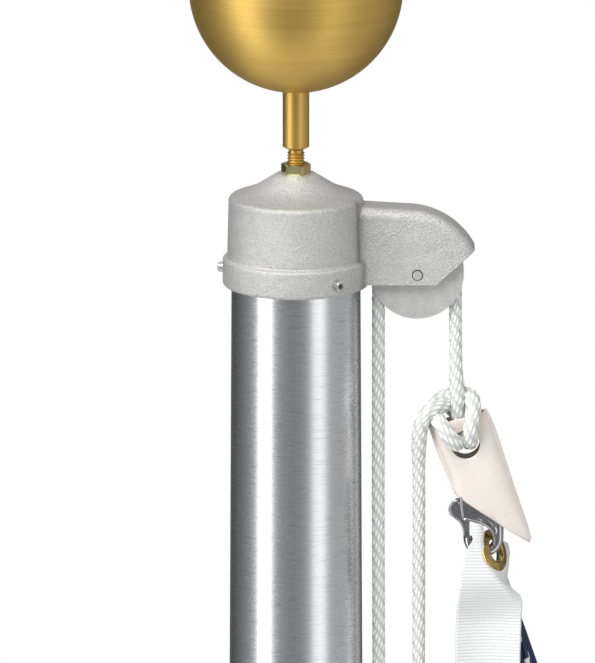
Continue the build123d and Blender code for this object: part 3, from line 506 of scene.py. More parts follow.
# Cleat: the same cast aluminium, with two horns on a stem, over a pad that is hollowed to the
# shaft's curve and screwed to it.
CLEAT_ARM = 0.1145
HORN_INNER, HORN_OUTER = 0.092, 0.108
HORN_ROOT = 0.026
HORN_FLARE = 0.010
HORN_HALF = 0.008
HORN_TAPER = 0.3
STEM_HALF = (0.009, 0.020)
STEM_SPAN = (0.064, 0.098)
STEM_WAIST = (0.0725, 0.0892)
STEM_FILLET = 0.008
STEM_SWELL = 0.25
PAD_HALF = (0.014, 0.050)
PAD_BACK, PAD_FACE = 0.060, 0.0705
PAD_ROUND = 0.002
BAR_FACETS = 72
OUT, ASIDE, UP = np.eye(3)


def cast_bar(name, x, z, side, other, wide, deep, squareness):
    """Sections across a line of middles, each a superellipse: with c and s the cosine and sine
    of the turn, side times c and other times s, each to the power of 2 over the squareness.
    What would lie inside the shaft is drawn out to its surface."""
    angle = np.linspace(0.0, 2 * pi, BAR_FACETS, endpoint=False)
    cosine, sine = np.cos(angle), np.sin(angle)
    cosine = np.sign(cosine) * np.abs(cosine) ** (2 / squareness)
    sine = np.sign(sine) * np.abs(sine) ** (2 / squareness)
    points = (grid(x, 0.0, z)[:, None] + side * (wide[:, None] * cosine)[..., None]
              + other * (deep[:, None] * sine)[..., None])
    shaft_face = np.sqrt(BUTT_RADIUS ** 2 - points[..., 1] ** 2)
    points[..., 0] = np.maximum(points[..., 0], shaft_face)
    made = seal(surface(name, points, cast, round_columns=True))
    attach(made, "pole")
    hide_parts("cleat")


# Horns: the inner face flares out from the root, and both faces close at the rounded tips.
share = np.sin(np.linspace(-pi / 2, pi / 2, 81))
flare = np.clip((np.abs(share) * CLEAT_ARM - HORN_ROOT) / (CLEAT_ARM - HORN_ROOT), 0.0, 1.0)
inner = HORN_INNER + HORN_FLARE * flare ** 1.3
closing = np.sqrt(np.clip(1.0 - np.abs(share) ** 14, 0.0, 1.0))
cast_bar("cleat_horns", (inner + HORN_OUTER) / 2, CLEAT_MIDDLE + CLEAT_ARM * share, OUT, ASIDE,
         closing * (HORN_OUTER - inner) / 2, closing * HORN_HALF * (1.0 - HORN_TAPER * share ** 2),
         squareness=2.8)
# Stem: it swells by a fillet into the pad and into the horns.
stem_x = np.linspace(*STEM_SPAN, 25)
swell = 1.0 + STEM_SWELL * (np.clip((STEM_WAIST[0] - stem_x) / STEM_FILLET, 0.0, 1.0)
                            + np.clip((stem_x - STEM_WAIST[1]) / STEM_FILLET, 0.0, 1.0)) ** 2
swell[[0, -1]] = 0.0
cast_bar("cleat_stem", stem_x, CLEAT_MIDDLE, ASIDE, UP,
         STEM_HALF[0] * swell, STEM_HALF[1] * swell, squareness=2.6)
# Pad: a flat plate with a rounded edge.
rounding = np.linspace(0.0, pi / 2, 9)
pad_x = np.concatenate([[PAD_BACK, PAD_BACK], PAD_FACE - PAD_ROUND + PAD_ROUND * np.sin(rounding),
                        [PAD_FACE]])
inset = np.concatenate([[0.0, 0.0], PAD_ROUND * (1.0 - np.cos(rounding)), [0.0]])
full = np.ones(len(pad_x))
full[[0, -1]] = 0.0
cast_bar("cleat_pad", pad_x, CLEAT_MIDDLE, ASIDE, UP,
         (PAD_HALF[0] - inset) * full, (PAD_HALF[1] - inset) * full, squareness=5.0)


# Sheave: a cast wheel with a rope groove, duller and darker than the cap, on a steel pin that
# is riveted in the hood's cheeks. The set screws and the cleat's screws are of the same steel.
PIN_EDGE = 0.00275


def sheave_look(place, uv):
    """Coarse sand grain over slow stains."""
    grain = place.noise(1500.0, 3.0, 0.65)
    cloud = place.noise(160.0, 3.0)
    speck = grain.ramp((0.38, 0.0), (0.62, 1.0))
    tone = (speck * 0.35 + cloud * 0.6).mix((0.36, 0.36, 0.35, 1.0), (0.66, 0.66, 0.64, 1.0))
    return {"Base Color": tone, "Roughness": grain * 0.2 + 0.5,
            "Normal": grain.bump(0.0004, 0.6)}


def steel_look(place, uv):
    """Turned steel with faint rubbing."""
    rub = place.noise(420.0, 3.0)
    return {"Base Color": rub.mix((0.42, 0.42, 0.42, 1.0), (0.66, 0.66, 0.67, 1.0)),
            "Roughness": rub * 0.2 + 0.22}


def pin_look(place, uv):
    """Pale rubbed steel, with painted shade, near black, on its outer edge, by the distance from
    the pin's axis.
    """
    rub = place.noise(420.0, 3.0)
    reach = ((place.axis("X") - SHEAVE_X / 1000) ** 2.0
             + (place.axis("Z") - CAP_FOOT - SHEAVE_Z / 1000) ** 2.0) ** 0.5
    # Painted shade: the pin's outer edge is painted near black.
    painted_edge_shade = reach.maths("GREATER_THAN", PIN_EDGE)
    return {"Base Color": painted_edge_shade.mix((0.62, 0.62, 0.60, 1.0), (0.05, 0.05, 0.05, 1.0)),
            "Roughness": rub * 0.2 + 0.22}


dress(finish("cast sheave", sheave_look, Metallic=0.5), "sheave")
dress(finish("pale pin with painted edge shade", pin_look, Metallic=0.5), "sheave_pin")
dress(finish("turned steel", steel_look, Metallic=1.0), "set_screw_1", "set_screw_2",
      "set_screw_3", "cleat_screw_upper", "cleat_screw_lower")


# Jam nut: a hexagon of yellow zinc plated steel, which locks the ball's spindle on the cap. The
# thin plating shows green, pale yellow and copper by turns across the nut.
NUT_WIDTH = 1 / 60


def plated_look(place, uv):
    """Plating tints from the nut's left to its right, which drift a little."""
    drift = place.noise(130.0, 1.0)
    side = place.axis("X") / NUT_WIDTH + 0.5
    tone = side.node("ValToRGB", {0: side + drift * 0.3 - 0.15}, stops=[
        (0.0, (0.50, 0.50, 0.20, 1.0)), (0.38, (0.88, 0.86, 0.46, 1.0)),
        (0.6, (0.86, 0.76, 0.40, 1.0)), (0.85, (0.56, 0.36, 0.19, 1.0))])
    return {"Base Color": tone, "Roughness": drift * 0.1 + 0.2}


dress(finish("yellow plating", plated_look, Metallic=1.0), "jam_nut")


# Ball and spindle: both gold anodised aluminium. The ball is spun in two halves and brushed
# around, the spindle is turned, with a chamfered foot and a threaded stud below it.
BALL_RADIUS = 0.0635
BALL_SHEET = 0.0013
BALL_OPENING = 0.125


def gold_look(place, uv):
    """Fine rings around the upright axis: noise over height, hardly over the other two."""
    ring = place.stretched(6.0, 6.0, 1900.0).noise(1.0, 3.0, 0.6)
    band = place.stretched(3.0, 3.0, 260.0).noise(1.0, 2.0)
    tone = (ring * 0.85 + band * 0.08).mix((0.51, 0.325, 0.07, 1.0), (0.77, 0.535, 0.165, 1.0))
    return {"Base Color": tone, "Roughness": ring * 0.05 + 0.44,
            "Normal": ring.bump(0.00004, 0.35)}


gold = finish("gold anodising", gold_look, Metallic=1.0)
dress(gold, "ball_spindle")
ball_low, ball_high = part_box("ball")
ball_centre = (ball_low.z + ball_high.z) / 2
arc = np.linspace(-pi / 2 + BALL_OPENING, pi / 2, 90)
ball_skin = np.column_stack([np.cos(arc), np.sin(arc)])
ball_wall = np.vstack([ball_skin * BALL_RADIUS, ball_skin[::-1] * (BALL_RADIUS - BALL_SHEET)])
ball = lathe("finial_ball", ball_wall + (0.0, ball_centre), gold)
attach(ball, "pole")
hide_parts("ball")


# Snaps: die cast hooks with a swinging gate on a pin, plated bright. The castings have raised
# ribs along the shank, round the throat and round the gate's thumb lug, and a thicker root that
# fills the throat's corner.
RIB_STEP = 0.0004
RIB_FACETS = 16
RIBS = {
    "shank_rib": ("pole", 0.75, [
        (98.4, -4.9, -128.5), (98.7, -5.0, -133.4), (99.2, -5.0, -138.3), (99.9, -4.9, -142.8)]),
    "throat_rib": ("pole", 0.8, [
        (99.6, -4.7, -143.0), (102.3, -4.9, -143.2), (105.4, -4.9, -144.0), (108.6, -4.8, -144.8),
        (111.5, -4.4, -145.9), (114.0, -3.8, -147.4), (115.8, -3.4, -149.2), (117.1, -3.0, -151.2),
        (118.0, -2.6, -154.0), (118.4, -2.3, -158.0), (118.9, -2.0, -161.5)]),
    "throat_root": ("pole", 2.5, [
        (106.0, -1.2, -141.0), (111.5, -1.2, -142.6), (116.0, -1.2, -145.8),
        (119.3, -0.9, -150.5), (120.6, -0.4, -156.0)]),
    "lug_rib": ("gate", 0.75, [
        (98.4, -2.9, -134.8), (97.4, -2.9, -132.4), (94.2, -2.9, -132.4), (92.3, -2.9, -134.9),
        (91.5, -2.9, -138.2), (92.8, -2.9, -140.9), (95.5, -2.9, -142.9), (98.2, -2.9, -145.1),
        (99.8, -2.9, -148.0), (100.4, -2.9, -151.0), (101.0, -2.9, -153.7)])}


def chrome_look(place, uv):
    """Bright plating, a little pitted."""
    pit = place.noise(380.0, 3.0)
    swell = place.noise(95.0, 1.0)
    return {"Base Color": pit.mix((0.34, 0.34, 0.35, 1.0), (0.66, 0.66, 0.68, 1.0)),
            "Roughness": pit * 0.12 + 0.10, "Normal": pit.bump(0.0002, 0.2, swell.bump(0.003, 0.5))}


chrome = finish("bright plating", chrome_look, Metallic=1.0)
for end in ("upper", "lower"):
    dress(chrome, end + "_snap_hook", end + "_snap_gate", end + "_gate_pin")


def rib(name, body, radius, route):
    """A round rib along a route, drawn to a point at both ends."""
    line = smooth_line(route)
    stations, distance = along(line, np.full(len(line), RIB_STEP))
    across, beside = carried_frames(stations)
    ends = np.minimum(distance, distance[-1] - distance)[:, None]
    size = radius * np.sqrt(np.clip(ends / (2 * radius), 0.0, 1.0))[..., None]
    turn = np.linspace(0.0, 2 * pi, RIB_FACETS, endpoint=False)[None, :, None]
    skin = (stations[:, None] + size * (across[:, None] * np.cos(turn)
                                        + beside[:, None] * np.sin(turn)))
    made = seal(surface(name, skin, chrome, round_columns=True))
    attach(made, body)


for name, (body, radius, points) in RIBS.items():
    route = from_cap(points)
    for end, way in (("upper", route), ("lower", mirrored(route))):
        rib(f"{end}_{name}", body if body == "pole" else f"{end}_gate", radius / 1000, way)


# Covers: soft vinyl pouches over the snaps, which keep them from ringing on the pole. Each is
# one folded sheet, open along its slanting upper and lower edges, punched for the rope.
COVER_CENTRE = (0.1010, -0.0968)
COVER_CORNERS = np.array([(-0.0230, 0.0106), (0.0128, 0.0200), (0.0150, 0.0168),
                          (0.0438, -0.0652), (-0.0075, -0.0307)])
COVER_OPEN = (0, 3)
COVER_HOLE = 0.0086
COVER_SHEET = 0.0013
COVER_HALF = 0.0068
EDGE_HALF = 0.0018
MOUTH_HALF = 0.0052
MOUTH_SHARPNESS = 14
CORNER_SHARPNESS = 50.0
TIP_REACH, TIP_LENGTH, TIP_LEAST = 0.075, 0.014, 0.2
DENT_CENTRE = (0.0125, 0.008)
DENT_DEPTH = 0.0012
DENT_SPREAD = 0.00004
COVER_RAYS, COVER_RINGS, COVER_FOLDS = 180, 26, 7


def vinyl_look(place, uv):
    """Slow stains in warm white vinyl."""
    cloud = place.noise(55.0, 3.0)
    fine = place.noise(1400.0, 2.0)
    return {"Base Color": cloud.mix((0.70, 0.635, 0.58, 1.0), (0.78, 0.72, 0.665, 1.0)),
            "Roughness": cloud * 0.15 + 0.38, "Normal": fine.bump(0.00008, 0.3)}


vinyl = finish("warm white vinyl", vinyl_look, Subsurface_Weight=0.15,
               Subsurface_Radius=(0.004, 0.002, 0.0015))


def thicken(piece, name, thickness, offset):
    """Gives a thin surface its thickness: inwards at offset -1, half to each side at 0."""
    sheet = piece.modifiers.new(name, "SOLIDIFY")
    sheet.thickness, sheet.offset = thickness, offset


def cover(end):
    """Front and back panels as rings that grow from the hole to the outline. The outline's reach
    in a direction is a soft least of its five edges' distances, which rounds the corners. The
    panels stand apart, with a soft dent in the upper right, narrow towards the long tip, close
    to a fold at the rim, and stay open above and below."""
    angle = np.linspace(0.0, 2 * pi, COVER_RAYS, endpoint=False)
    heading = np.stack([np.cos(angle), np.sin(angle)], -1)
    sides = np.roll(COVER_CORNERS, -1, 0) - COVER_CORNERS
    normals = np.stack([-sides[:, 1], sides[:, 0]], -1)
    normals /= np.linalg.norm(normals, axis=1, keepdims=True)
    offsets = (normals * COVER_CORNERS).sum(1)
    normals, offsets = normals * np.sign(offsets)[:, None], np.abs(offsets)
    open_side = np.isin(np.arange(len(offsets)), COVER_OPEN)
    nearness = np.clip(heading @ normals.T / (offsets - EDGE_HALF * ~open_side), 0.0, None)
    reach = (nearness ** CORNER_SHARPNESS).sum(1) ** (-1.0 / CORNER_SHARPNESS)
    pull = nearness ** MOUTH_SHARPNESS
    mouth = (pull * open_side).sum(1) / pull.sum(1)
    edge_half = EDGE_HALF + (MOUTH_HALF - EDGE_HALF) * mouth
    edge_half = edge_half * np.clip((TIP_REACH - reach) / TIP_LENGTH, TIP_LEAST, 1.0)
    share = np.linspace(0.0, 1.0, COVER_RINGS)[:, None]
    out = COVER_HOLE + (reach - COVER_HOLE) * share
    half = edge_half + (COVER_HALF - edge_half) * (1.0 - share ** 3) ** 0.8
    across, up = out * heading[:, 0], out * heading[:, 1]
    half = half - DENT_DEPTH * np.exp(
        -((across - DENT_CENTRE[0]) ** 2 + (up - DENT_CENTRE[1]) ** 2) / DENT_SPREAD)
    turn = np.linspace(0.0, pi, COVER_FOLDS + 2)[1:-1, None]
    fold_out = reach + edge_half * np.sqrt(np.clip(1.0 - 2.0 * mouth, 0.0, 1.0)) * np.sin(turn)
    rows = np.concatenate([out, fold_out, out[::-1]])
    depth = np.concatenate([-half, -edge_half * np.cos(turn), half[::-1]])
    place = np.stack([COVER_CENTRE[0] + rows * heading[:, 0], depth,
                      CAP_FOOT + COVER_CENTRE[1] + rows * heading[:, 1]], -1)
    kept = np.ones((len(rows) - 1, len(angle)), bool)
    kept[len(out) - 1:len(out) + len(turn)] = mouth < 0.5
    if end == "lower":
        place = mirrored(place)
    made = surface("cover_" + end, place, vinyl, round_columns=True, kept=kept)
    shape = bmesh.new()
    shape.from_mesh(made.data)
    bmesh.ops.recalc_face_normals(shape, faces=shape.faces)
    loose = [point for point in shape.verts if not point.link_faces]
    bmesh.ops.delete(shape, geom=loose)
    shape.to_mesh(made.data)
    shape.free()
    thicken(made, "sheet", COVER_SHEET, -1.0)
    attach(made, "pole")
    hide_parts(end + "_snap_cover")


cover("upper")
cover("lower")


# Grommets: brass rings in two parts, pressed through the heading and clenched together. The
# snap's hook has rubbed them bright in places, and the rest has gone brown.
EYE_CENTRE = (0.1181, 0.0, 0.0191)
EYE_NORMAL = np.array([0.823, -0.437, 0.363])
HEADING_TOP = 8.951
GROMMET_FACETS = 96
BRASS_PROFILE = [(6.7, 0.0), (6.8, 0.9), (7.3, 1.8), (8.4, 2.1), (9.8, 1.6), (11.4, 1.2),
                 (12.7, 1.1), (13.0, 0.6)]


def brass_look(place, uv):
    """Brass gone brown in places."""
    worn = place.noise(240.0, 3.0)
    wave = place.noise(170.0, 1.0)
    return {"Base Color": worn.mix((0.30, 0.19, 0.06, 1.0), (0.82, 0.60, 0.22, 1.0)),
            "Roughness": worn * 0.15 + 0.12, "Normal": wave.bump(0.0015, 0.5)}


brass = finish("worn brass", brass_look, Metallic=1.0)
half_shell = [(r / 1000, 0.0, h / 1000) for r, h in BRASS_PROFILE]
outline = smooth_line(np.array(half_shell + [(r, 0.0, -h) for r, _, h in half_shell[:0:-1]]
                               + half_shell[:1]))[:-1]
turn = np.linspace(0.0, 2 * pi, GROMMET_FACETS, endpoint=False)[None, :, None]
beside = np.cross(EYE_NORMAL, (0.0, 0.0, 1.0))
beside /= np.linalg.norm(beside)
upward = np.cross(beside, EYE_NORMAL)
upper_shell = (outline[:, None, :1] * (beside * np.cos(turn) + upward * np.sin(turn))
               + outline[:, None, 2:] * EYE_NORMAL)
upper_shell = upper_shell + (EYE_CENTRE[0], EYE_CENTRE[1], HEADING_TOP - EYE_CENTRE[2])
for end, shell in (("upper", upper_shell), ("lower", mirrored(upper_shell))):
    grommet = seal(surface(end + "_brass_ring", shell, brass, True, True))
    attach(grommet, "pole")
    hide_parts(end + "_grommet")


# Heading: a folded strip of white ribbed canvas, sewn down the flag's edge. Near each grommet
# the snap gathers it: the strip turns back past a soft fold, where the grommet faces aside.
HOIST = 1.219
HEADING_WIDTH = 0.0387
HEADING_SHEET = 0.0016
RIB_PITCH = 0.002
RIB_RELIEF = 0.00012
RIB_END, RIB_FADE = 0.12, 0.02
FOLD_TURN = radians(62.0)
FOLD_SOFTNESS = 0.0045
FOLD_DEPTH = 0.0104
TUCK_TURN = 1.3
TUCK_WIDTH = 0.004
WAVE_DEPTH = 0.004
STRIP_SAG = 0.6
EYE_HOLE = 0.0072
PULL_REACH, PULL_FADE, PULL_EDGE = 0.024, 0.010, 0.002
STRIP_COLUMNS = 41
FINE_END, FINE_ROW, PLAIN_ROW = 0.13, 0.0004, 0.01
# Millimetres: how far down from the heading's end, and there the left edge and the fold line from
# the pole's axis. The gathering is full down to the first drop and gone after the second, the
# tuck of the corner ends at the tuck's drop, and the slow wave dies away over its own.
GATHERED = np.array([
    (0.0, 105.0, 111.3), (5.5, 105.3, 111.9), (9.8, 105.6, 111.4), (14.7, 102.8, 111.5),
    (20.2, 101.0, 112.9), (26.3, 99.7, 115.4), (30.0, 99.2, 117.6), (35.0, 98.8, 121.2),
    (40.0, 98.2, 125.0), (43.5, 97.7, 127.5), (52.6, 96.7, 131.8), (59.0, 96.2, 134.5),
    (83.0, 95.6, 134.6)])
GATHER_DROPS = (32.0, 66.0)
TUCK_DROP = 12.0
WAVE_DROP = 260.0


def canvas_look(place, uv):
    """Ribs across the strip, read from its own map, with painted shade in their grooves, and
    threads along it.
    """
    rib = uv.axis("Y") * (2 * pi / RIB_PITCH)
    rib = rib.maths("SINE") * 0.5 + 0.5
    thread = uv.stretched(1100.0, 400.0, 1.0).noise(1.0, 2.0)
    # Painted shade: the grooves between the ribs are painted darker.
    tone = (rib * 0.45 + thread * 0.5).mix((0.64, 0.65, 0.65, 1.0), (0.83, 0.83, 0.83, 1.0))
    return {"Base Color": tone, "Normal": (rib + thread * 0.4).bump(0.00025, 0.7)}


def smooth_step(share):
    """0 to 1 with level ends: three times the square less twice the cube."""
    return share * share * (3.0 - 2.0 * share)


def heading_strip(down, across):
    """Points of the strip. Across it, the direction turns back past the fold line by a smooth
    step, and x and y are the sums of its cosine and sine. Down it, the left edge and the fold
    line follow the gathered cloth, and the turn dies away below the grommet. Round the grommet
    the strip is drawn onto the grommet's plane."""
    drop = np.minimum(down, HOIST - down) * 1000
    drops, lefts, folds = GATHERED.T
    left = np.interp(drop, drops, lefts) / 1000
    fold = np.interp(drop, drops, folds) / 1000 - left
    start, end = GATHER_DROPS
    gather = smooth_step(np.clip(1.0 - (drop - start) / (end - start), 0.0, 1.0))
    bend = FOLD_TURN * gather * smooth_step(
        np.clip((across - fold) / FOLD_SOFTNESS + 0.5, 0.0, 1.0))
    tuck = np.clip(1.0 - across / TUCK_WIDTH, 0.0, 1.0) * np.clip(1.0 - drop / TUCK_DROP, 0.0, 1.0)
    bend = bend - TUCK_TURN * tuck
    step = np.diff(across, axis=1, prepend=across[:, :1])
    x = left + np.cumsum(np.cos(bend) * step, axis=1)
    y = -FOLD_DEPTH * gather + np.cumsum(np.sin(bend) * step, axis=1)
    wave = WAVE_DEPTH * np.sin(pi * across / HEADING_WIDTH)
    y = y + wave * (1.0 - gather) * np.exp(-drop / WAVE_DROP)
    sag = STRIP_SAG * np.clip(across - fold, 0.0, None) * gather
    below = drop / 1000 + sag
    off = np.stack([x - EYE_CENTRE[0], y - EYE_CENTRE[1], EYE_CENTRE[2] - below], -1)
    ahead = (off * EYE_NORMAL).sum(-1)
    flat = np.linalg.norm(off - ahead[..., None] * EYE_NORMAL, axis=-1)
    near = (np.clip((PULL_REACH - flat) / PULL_FADE, 0.0, 1.0)
            * np.clip((across - fold) / PULL_EDGE, 0.0, 1.0))
    pull = smooth_step(near) * ahead
    return x - pull * EYE_NORMAL[0], y - pull * EYE_NORMAL[1], sag + pull * EYE_NORMAL[2]


canvas = finish("ribbed canvas", canvas_look, Roughness=0.85)
rows = np.concatenate([np.arange(0.0, FINE_END, FINE_ROW),
                       np.arange(FINE_END, HOIST / 2, PLAIN_ROW)])
strip_down = np.concatenate([rows, HOIST - rows[::-1]])[:, None]
strip_across = np.linspace(0.0, HEADING_WIDTH, STRIP_COLUMNS)[None, :]
strip_x, strip_y, strip_sag = heading_strip(strip_down, strip_across)
from_end = np.minimum(strip_down, HOIST - strip_down)
ribs = RIB_RELIEF * np.cos(2 * pi * strip_down / RIB_PITCH)
ribs = ribs * np.clip((RIB_END - from_end) / RIB_FADE, 0.0, 1.0)
sag_way = np.where(strip_down < HOIST / 2, -1.0, 1.0)
strip_points = np.stack([strip_x, strip_y - ribs,
                         HEADING_TOP - strip_down + sag_way * strip_sag], -1)
strip_map = grid(strip_across, strip_down)
middles = (strip_points[1:, 1:] + strip_points[:-1, :-1]) / 2
eyes = np.array([(EYE_CENTRE[0], 0.0, HEADING_TOP - EYE_CENTRE[2]),
                 (EYE_CENTRE[0], 0.0, HEADING_TOP - HOIST + EYE_CENTRE[2])])
whole = np.linalg.norm(middles[..., None, :] - eyes, axis=-1).min(-1) > EYE_HOLE
strip = surface("heading_strip", strip_points, canvas, uv=strip_map, kept=whole)
thicken(strip, "canvas", HEADING_SHEET, 0.0)
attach(strip, "pole")
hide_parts("flag_heading")


# Flag: woven nylon, stripes and canton sewn together, hemmed at the fly, hanging in still air.
# The pattern is read from the cloth's own map, in metres from the heading and from the top.
FLY = 1.791
FLAG_SHEET = 0.0005
STRIPE = HOIST / 13
CANTON_FLY, CANTON_HOIST = 0.7316, 7 * STRIPE
STAR_COLUMN, STAR_ROW = CANTON_FLY / 12, CANTON_HOIST / 10
STAR_RADIUS = 0.03
SEAM_HALF = 0.0035
HEM_WIDTH, STITCHING_HALF = 0.012, 0.0012
FLAG_RED = (0.42, 0.012, 0.022, 1.0)
FLAG_WHITE = (0.80, 0.80, 0.78, 1.0)
FLAG_BLUE = (0.008, 0.016, 0.075, 1.0)
SEWN_DARK = (0.05, 0.05, 0.06, 1.0)
FLAG_FOLDS = 5.5
FOLD_GROWTH = 0.25
FOLD_SWING = 2.0
FOLD_PHASE = 0.62
FOLD_LEAN = 0.05
FLAG_RAYS, FLAG_ROWS = 561, 70
TIP_SHIFT = (-0.0065, 0.008, -0.014)
EDGE_FADE = 0.12
BEHIND_SHIFT = (-0.0065, 0.002, 0.0)
BEHIND_DROP = 0.075


def star(across, up):
    """1 inside a five-pointed star with one tip up. With f the angle from the nearest tip and
    r the distance, the inside is where r cos(72 - f) is less than R cos 72 degrees."""
    from_tip = across.maths("ARCTAN2", up).maths("PINGPONG", radians(36.0))
    distance = (across * across + up * up).maths("SQRT")
    side = distance * (radians(72.0) - from_tip).maths("COSINE")
    return side.maths("LESS_THAN", STAR_RADIUS * cos(radians(72.0)))


def flag_look(place, uv):
    """Thirteen stripes, a canton seven stripes tall, and fifty stars in staggered rows: two
    lattices of every second column and row, kept to columns 1 to 11 and rows 1 to 9."""
    out, down = uv.axis("X"), uv.axis("Y")
    red = (down / STRIPE).maths("MODULO", 2.0).maths("LESS_THAN", 1.0)
    column, row = out / STAR_COLUMN, down / STAR_ROW
    lattices = []
    for shift in (0.0, 1.0):
        across = (column + shift).maths("FLOORED_MODULO", 2.0) - 1.0
        up = 1.0 - (row + shift).maths("FLOORED_MODULO", 2.0)
        lattices.append(star(across * STAR_COLUMN, up * STAR_ROW))
    limits = column.maths("COMPARE", 6.0, 5.52) * row.maths("COMPARE", 5.0, 4.52)
    stars = lattices[0].maths("MAXIMUM", lattices[1]) * limits
    canton = out.maths("LESS_THAN", CANTON_FLY) * down.maths("LESS_THAN", CANTON_HOIST)
    thread = uv.stretched(900.0, 2600.0, 1.0).noise(1.0, 2.0)
    seam = down.maths("PINGPONG", STRIPE / 2).maths("LESS_THAN", SEAM_HALF) * 0.5
    hem = out.maths("COMPARE", FLY - HEM_WIDTH, STITCHING_HALF)
    sewn = (seam * (1.0 - canton)).maths("MAXIMUM", hem)
    pattern = canton.mix(red.mix(FLAG_WHITE, FLAG_RED), stars.mix(FLAG_BLUE, FLAG_WHITE))
    return {"Base Color": (sewn * 0.25 + thread * 0.12).mix(pattern, SEWN_DARK),
            "Roughness": thread * 0.15 + 0.55, "Normal": (thread + sewn).bump(0.0002, 0.5)}


def hung_cloth(ray, reach):
    """A cone with its tip at the flag's upper corner by the heading. Each ray of the flat cloth
    stays straight and keeps its length, and the rays' directions meander about straight down:
    sideways and outward parts are the sums of the sine and cosine of a heading that swings
    to and fro."""
    share = ray / (pi / 2)
    swings = FLAG_FOLDS * share + FOLD_GROWTH * share * share
    heading = FOLD_SWING * np.sin(2 * pi * swings + FOLD_PHASE)
    step = np.diff(ray, axis=1, prepend=ray[:, :1])
    outward = np.cumsum(np.cos(heading) * step, axis=1)
    sideways = np.cumsum(np.sin(heading) * step, axis=1) - FOLD_LEAN * share
    downward = np.sqrt(1.0 - outward ** 2 - sideways ** 2)
    return outward * reach, sideways * reach, -downward * reach


nylon = finish("sewn nylon", flag_look)
ray = np.linspace(0.0, pi / 2, FLAG_RAYS)[None, :]
ray_length = np.minimum(HOIST / np.maximum(np.cos(ray), 1e-6), FLY / np.maximum(np.sin(ray), 1e-6))
reach = np.linspace(0.002, 1.0, FLAG_ROWS)[:, None] ** 1.4 * ray_length
cloth_down, cloth_out = reach * np.cos(ray), reach * np.sin(ray)
hang_x, hang_y, hang_z = hung_cloth(ray, reach)
# The cone is moved to follow the heading's edge: near the heading each height by its own shift,
# further out all by the tip's, and behind the grommet a little more.
edge_across = np.linspace(0.0, HEADING_WIDTH - 0.002, STRIP_COLUMNS)[None, :]
edge_x, edge_y, edge_sag = (part[:, -1] for part in heading_strip(strip_down, edge_across))
edge_shift = np.stack([edge_x, edge_y, edge_sag * sag_way[:, 0]], -1)
near = np.exp(-cloth_out / EDGE_FADE)[..., None]
follow = np.stack([np.interp(cloth_down, strip_down[:, 0], edge_shift[:, axis])
                   for axis in range(3)], -1)
tip = edge_shift[0] + TIP_SHIFT
behind = np.exp(-(cloth_down / BEHIND_DROP) ** 2)[..., None] * np.array(BEHIND_SHIFT)
follow = tip + (follow + behind - tip) * near
cloth_points = np.stack([hang_x, hang_y + HEADING_SHEET / 2 + FLAG_SHEET,
                         HEADING_TOP + hang_z], -1) + follow
cloth_map = np.stack([cloth_out, cloth_down], -1)
flag = surface("flag_nylon", cloth_points, nylon, uv=cloth_map)
thicken(flag, "nylon", FLAG_SHEET, 0.0)
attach(flag, "pole")
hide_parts("flag_cloth")


# Floor and lights: a pale round floor, two tall soft lamps in front of the pole, left and right,
# and a round soft one above it, a little to the front and left.
FLOOR_RADIUS = 3.0
FLOOR_FACETS = 96
LAMP_DISTANCE = 6.0
LAMP_HEIGHT = 13.0
TOP_LAMP_PLACE, TOP_LAMP_AIM = Vector((-1.6, -2.6, 12.6)), Vector((0.0, 0.0, 9.1))

floor_finish = finish("pale floor", lambda place, uv: {}, Base_Color=(0.80, 0.80, 0.79, 1.0),
                      Roughness=0.9)
floor_profile = [(0.0, 0.0), (FLOOR_RADIUS, 0.0)]
floor = seal(surface("floor", turned(floor_profile, FLOOR_FACETS)[::-1], floor_finish,
                     round_columns=True))


def soft_lamp(name, place, turn, power, **settings):
    """A flat lamp that the camera doesn't see. It shines along its own -Z."""
    lamp = bpy.data.lights.new(name, "AREA")
    lamp.energy = power
    for setting, value in settings.items():
        setattr(lamp, setting, value)
    holder = bpy.data.objects.new(name, lamp)
    holder.location, holder.rotation_euler = place, turn
    holder.visible_camera = False
    bpy.context.scene.collection.objects.link(holder)


# Azimuth 0 is at the camera and goes to its right.
for name, azimuth, width, power in (("left_lamp", -57.0, 2.4, 290.0),
                                    ("right_lamp", 41.0, 2.7, 115.0)):
    angle = radians(azimuth)
    soft_lamp(name, (LAMP_DISTANCE * sin(angle), -LAMP_DISTANCE * cos(angle), LAMP_HEIGHT / 2),
              (pi / 2, 0.0, angle), power, shape="RECTANGLE", size=width, size_y=LAMP_HEIGHT)
soft_lamp("top_lamp", TOP_LAMP_PLACE,
          (TOP_LAMP_AIM - TOP_LAMP_PLACE).to_track_quat("-Z", "Y").to_euler(), 170.0,
          shape="DISK", size=2.6)


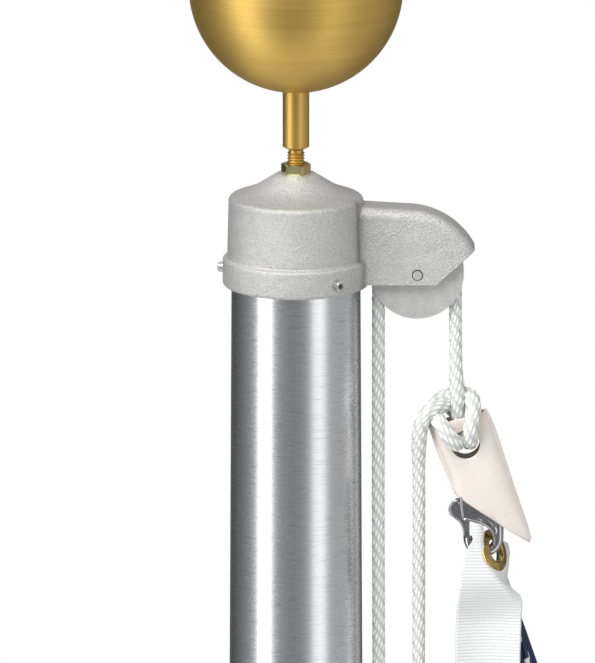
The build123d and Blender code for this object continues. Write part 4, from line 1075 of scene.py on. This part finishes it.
# Surround: a tall grey wall behind the lamps that only metal sees, so that its edges go dark as
# they do outdoors. It is palest at the right, fair in front and right behind, dark in between.
WALL_RADIUS = 7.5
WALL_FOOT, WALL_TOP = -1.0, 15.0
WALL_FACETS = 96


def wall_look(place, uv):
    """Grey by the turn around the pole, which is the first map direction in parts of a turn."""
    turn = uv.axis("X")
    grey = turn.ramp((0.0, 0.24), (0.035, 0.22), (0.065, 0.07), (0.11, 0.07), (0.20, 0.17),
                     (0.30, 0.34), (0.42, 0.26), (0.5, 0.22), (0.62, 0.44), (0.80, 0.50),
                     (0.86, 0.20), (0.935, 0.07), (0.965, 0.22), (1.0, 0.24))
    return {"Emission Color": grey}


wall_finish = finish("grey surround", wall_look, Base_Color=(0.0, 0.0, 0.0, 1.0), Roughness=1.0,
                     Specular_IOR_Level=0.0, Emission_Strength=1.0)
wall_turn = np.linspace(0.0, 1.0, WALL_FACETS + 1)
wall_angle = wall_turn * 2 * pi + pi / 2
wall_points = grid(WALL_RADIUS * np.cos(wall_angle), WALL_RADIUS * np.sin(wall_angle),
                   [[WALL_FOOT], [WALL_TOP]])
wall_map = grid(wall_turn, [[0.0], [1.0]])
wall = surface("surround", wall_points, wall_finish, uv=wall_map)
wall.visible_camera = wall.visible_diffuse = wall.visible_shadow = False
wall.visible_transmission = wall.visible_volume_scatter = False


# Sky: white where the camera sees it, straight on or in bright metal, and half as bright as a
# light on everything else.
world = bpy.data.worlds.new("sky")
bpy.context.scene.world = world
world.use_nodes = True
sky_tree = world.node_tree
sky_tree.nodes.clear()
rays = sky_tree.nodes.new("ShaderNodeLightPath").outputs
seen = Socket(sky_tree, rays["Is Camera Ray"]) + Socket(sky_tree, rays["Is Glossy Ray"])
seen = seen + Socket(sky_tree, rays["Is Transmission Ray"])
plain = seen.node("Background", {"Color": (1.0, 1.0, 1.0, 1.0), "Strength": 1.0})
soft = seen.node("Background", {"Color": (1.0, 1.0, 1.0, 1.0), "Strength": 0.5})
shown = seen.node("MixShader", {0: seen.maths("MINIMUM", 1.0), 1: soft, 2: plain})
shown.node("OutputWorld", {"Surface": shown})
bpy.context.scene.view_settings.view_transform = "Standard"
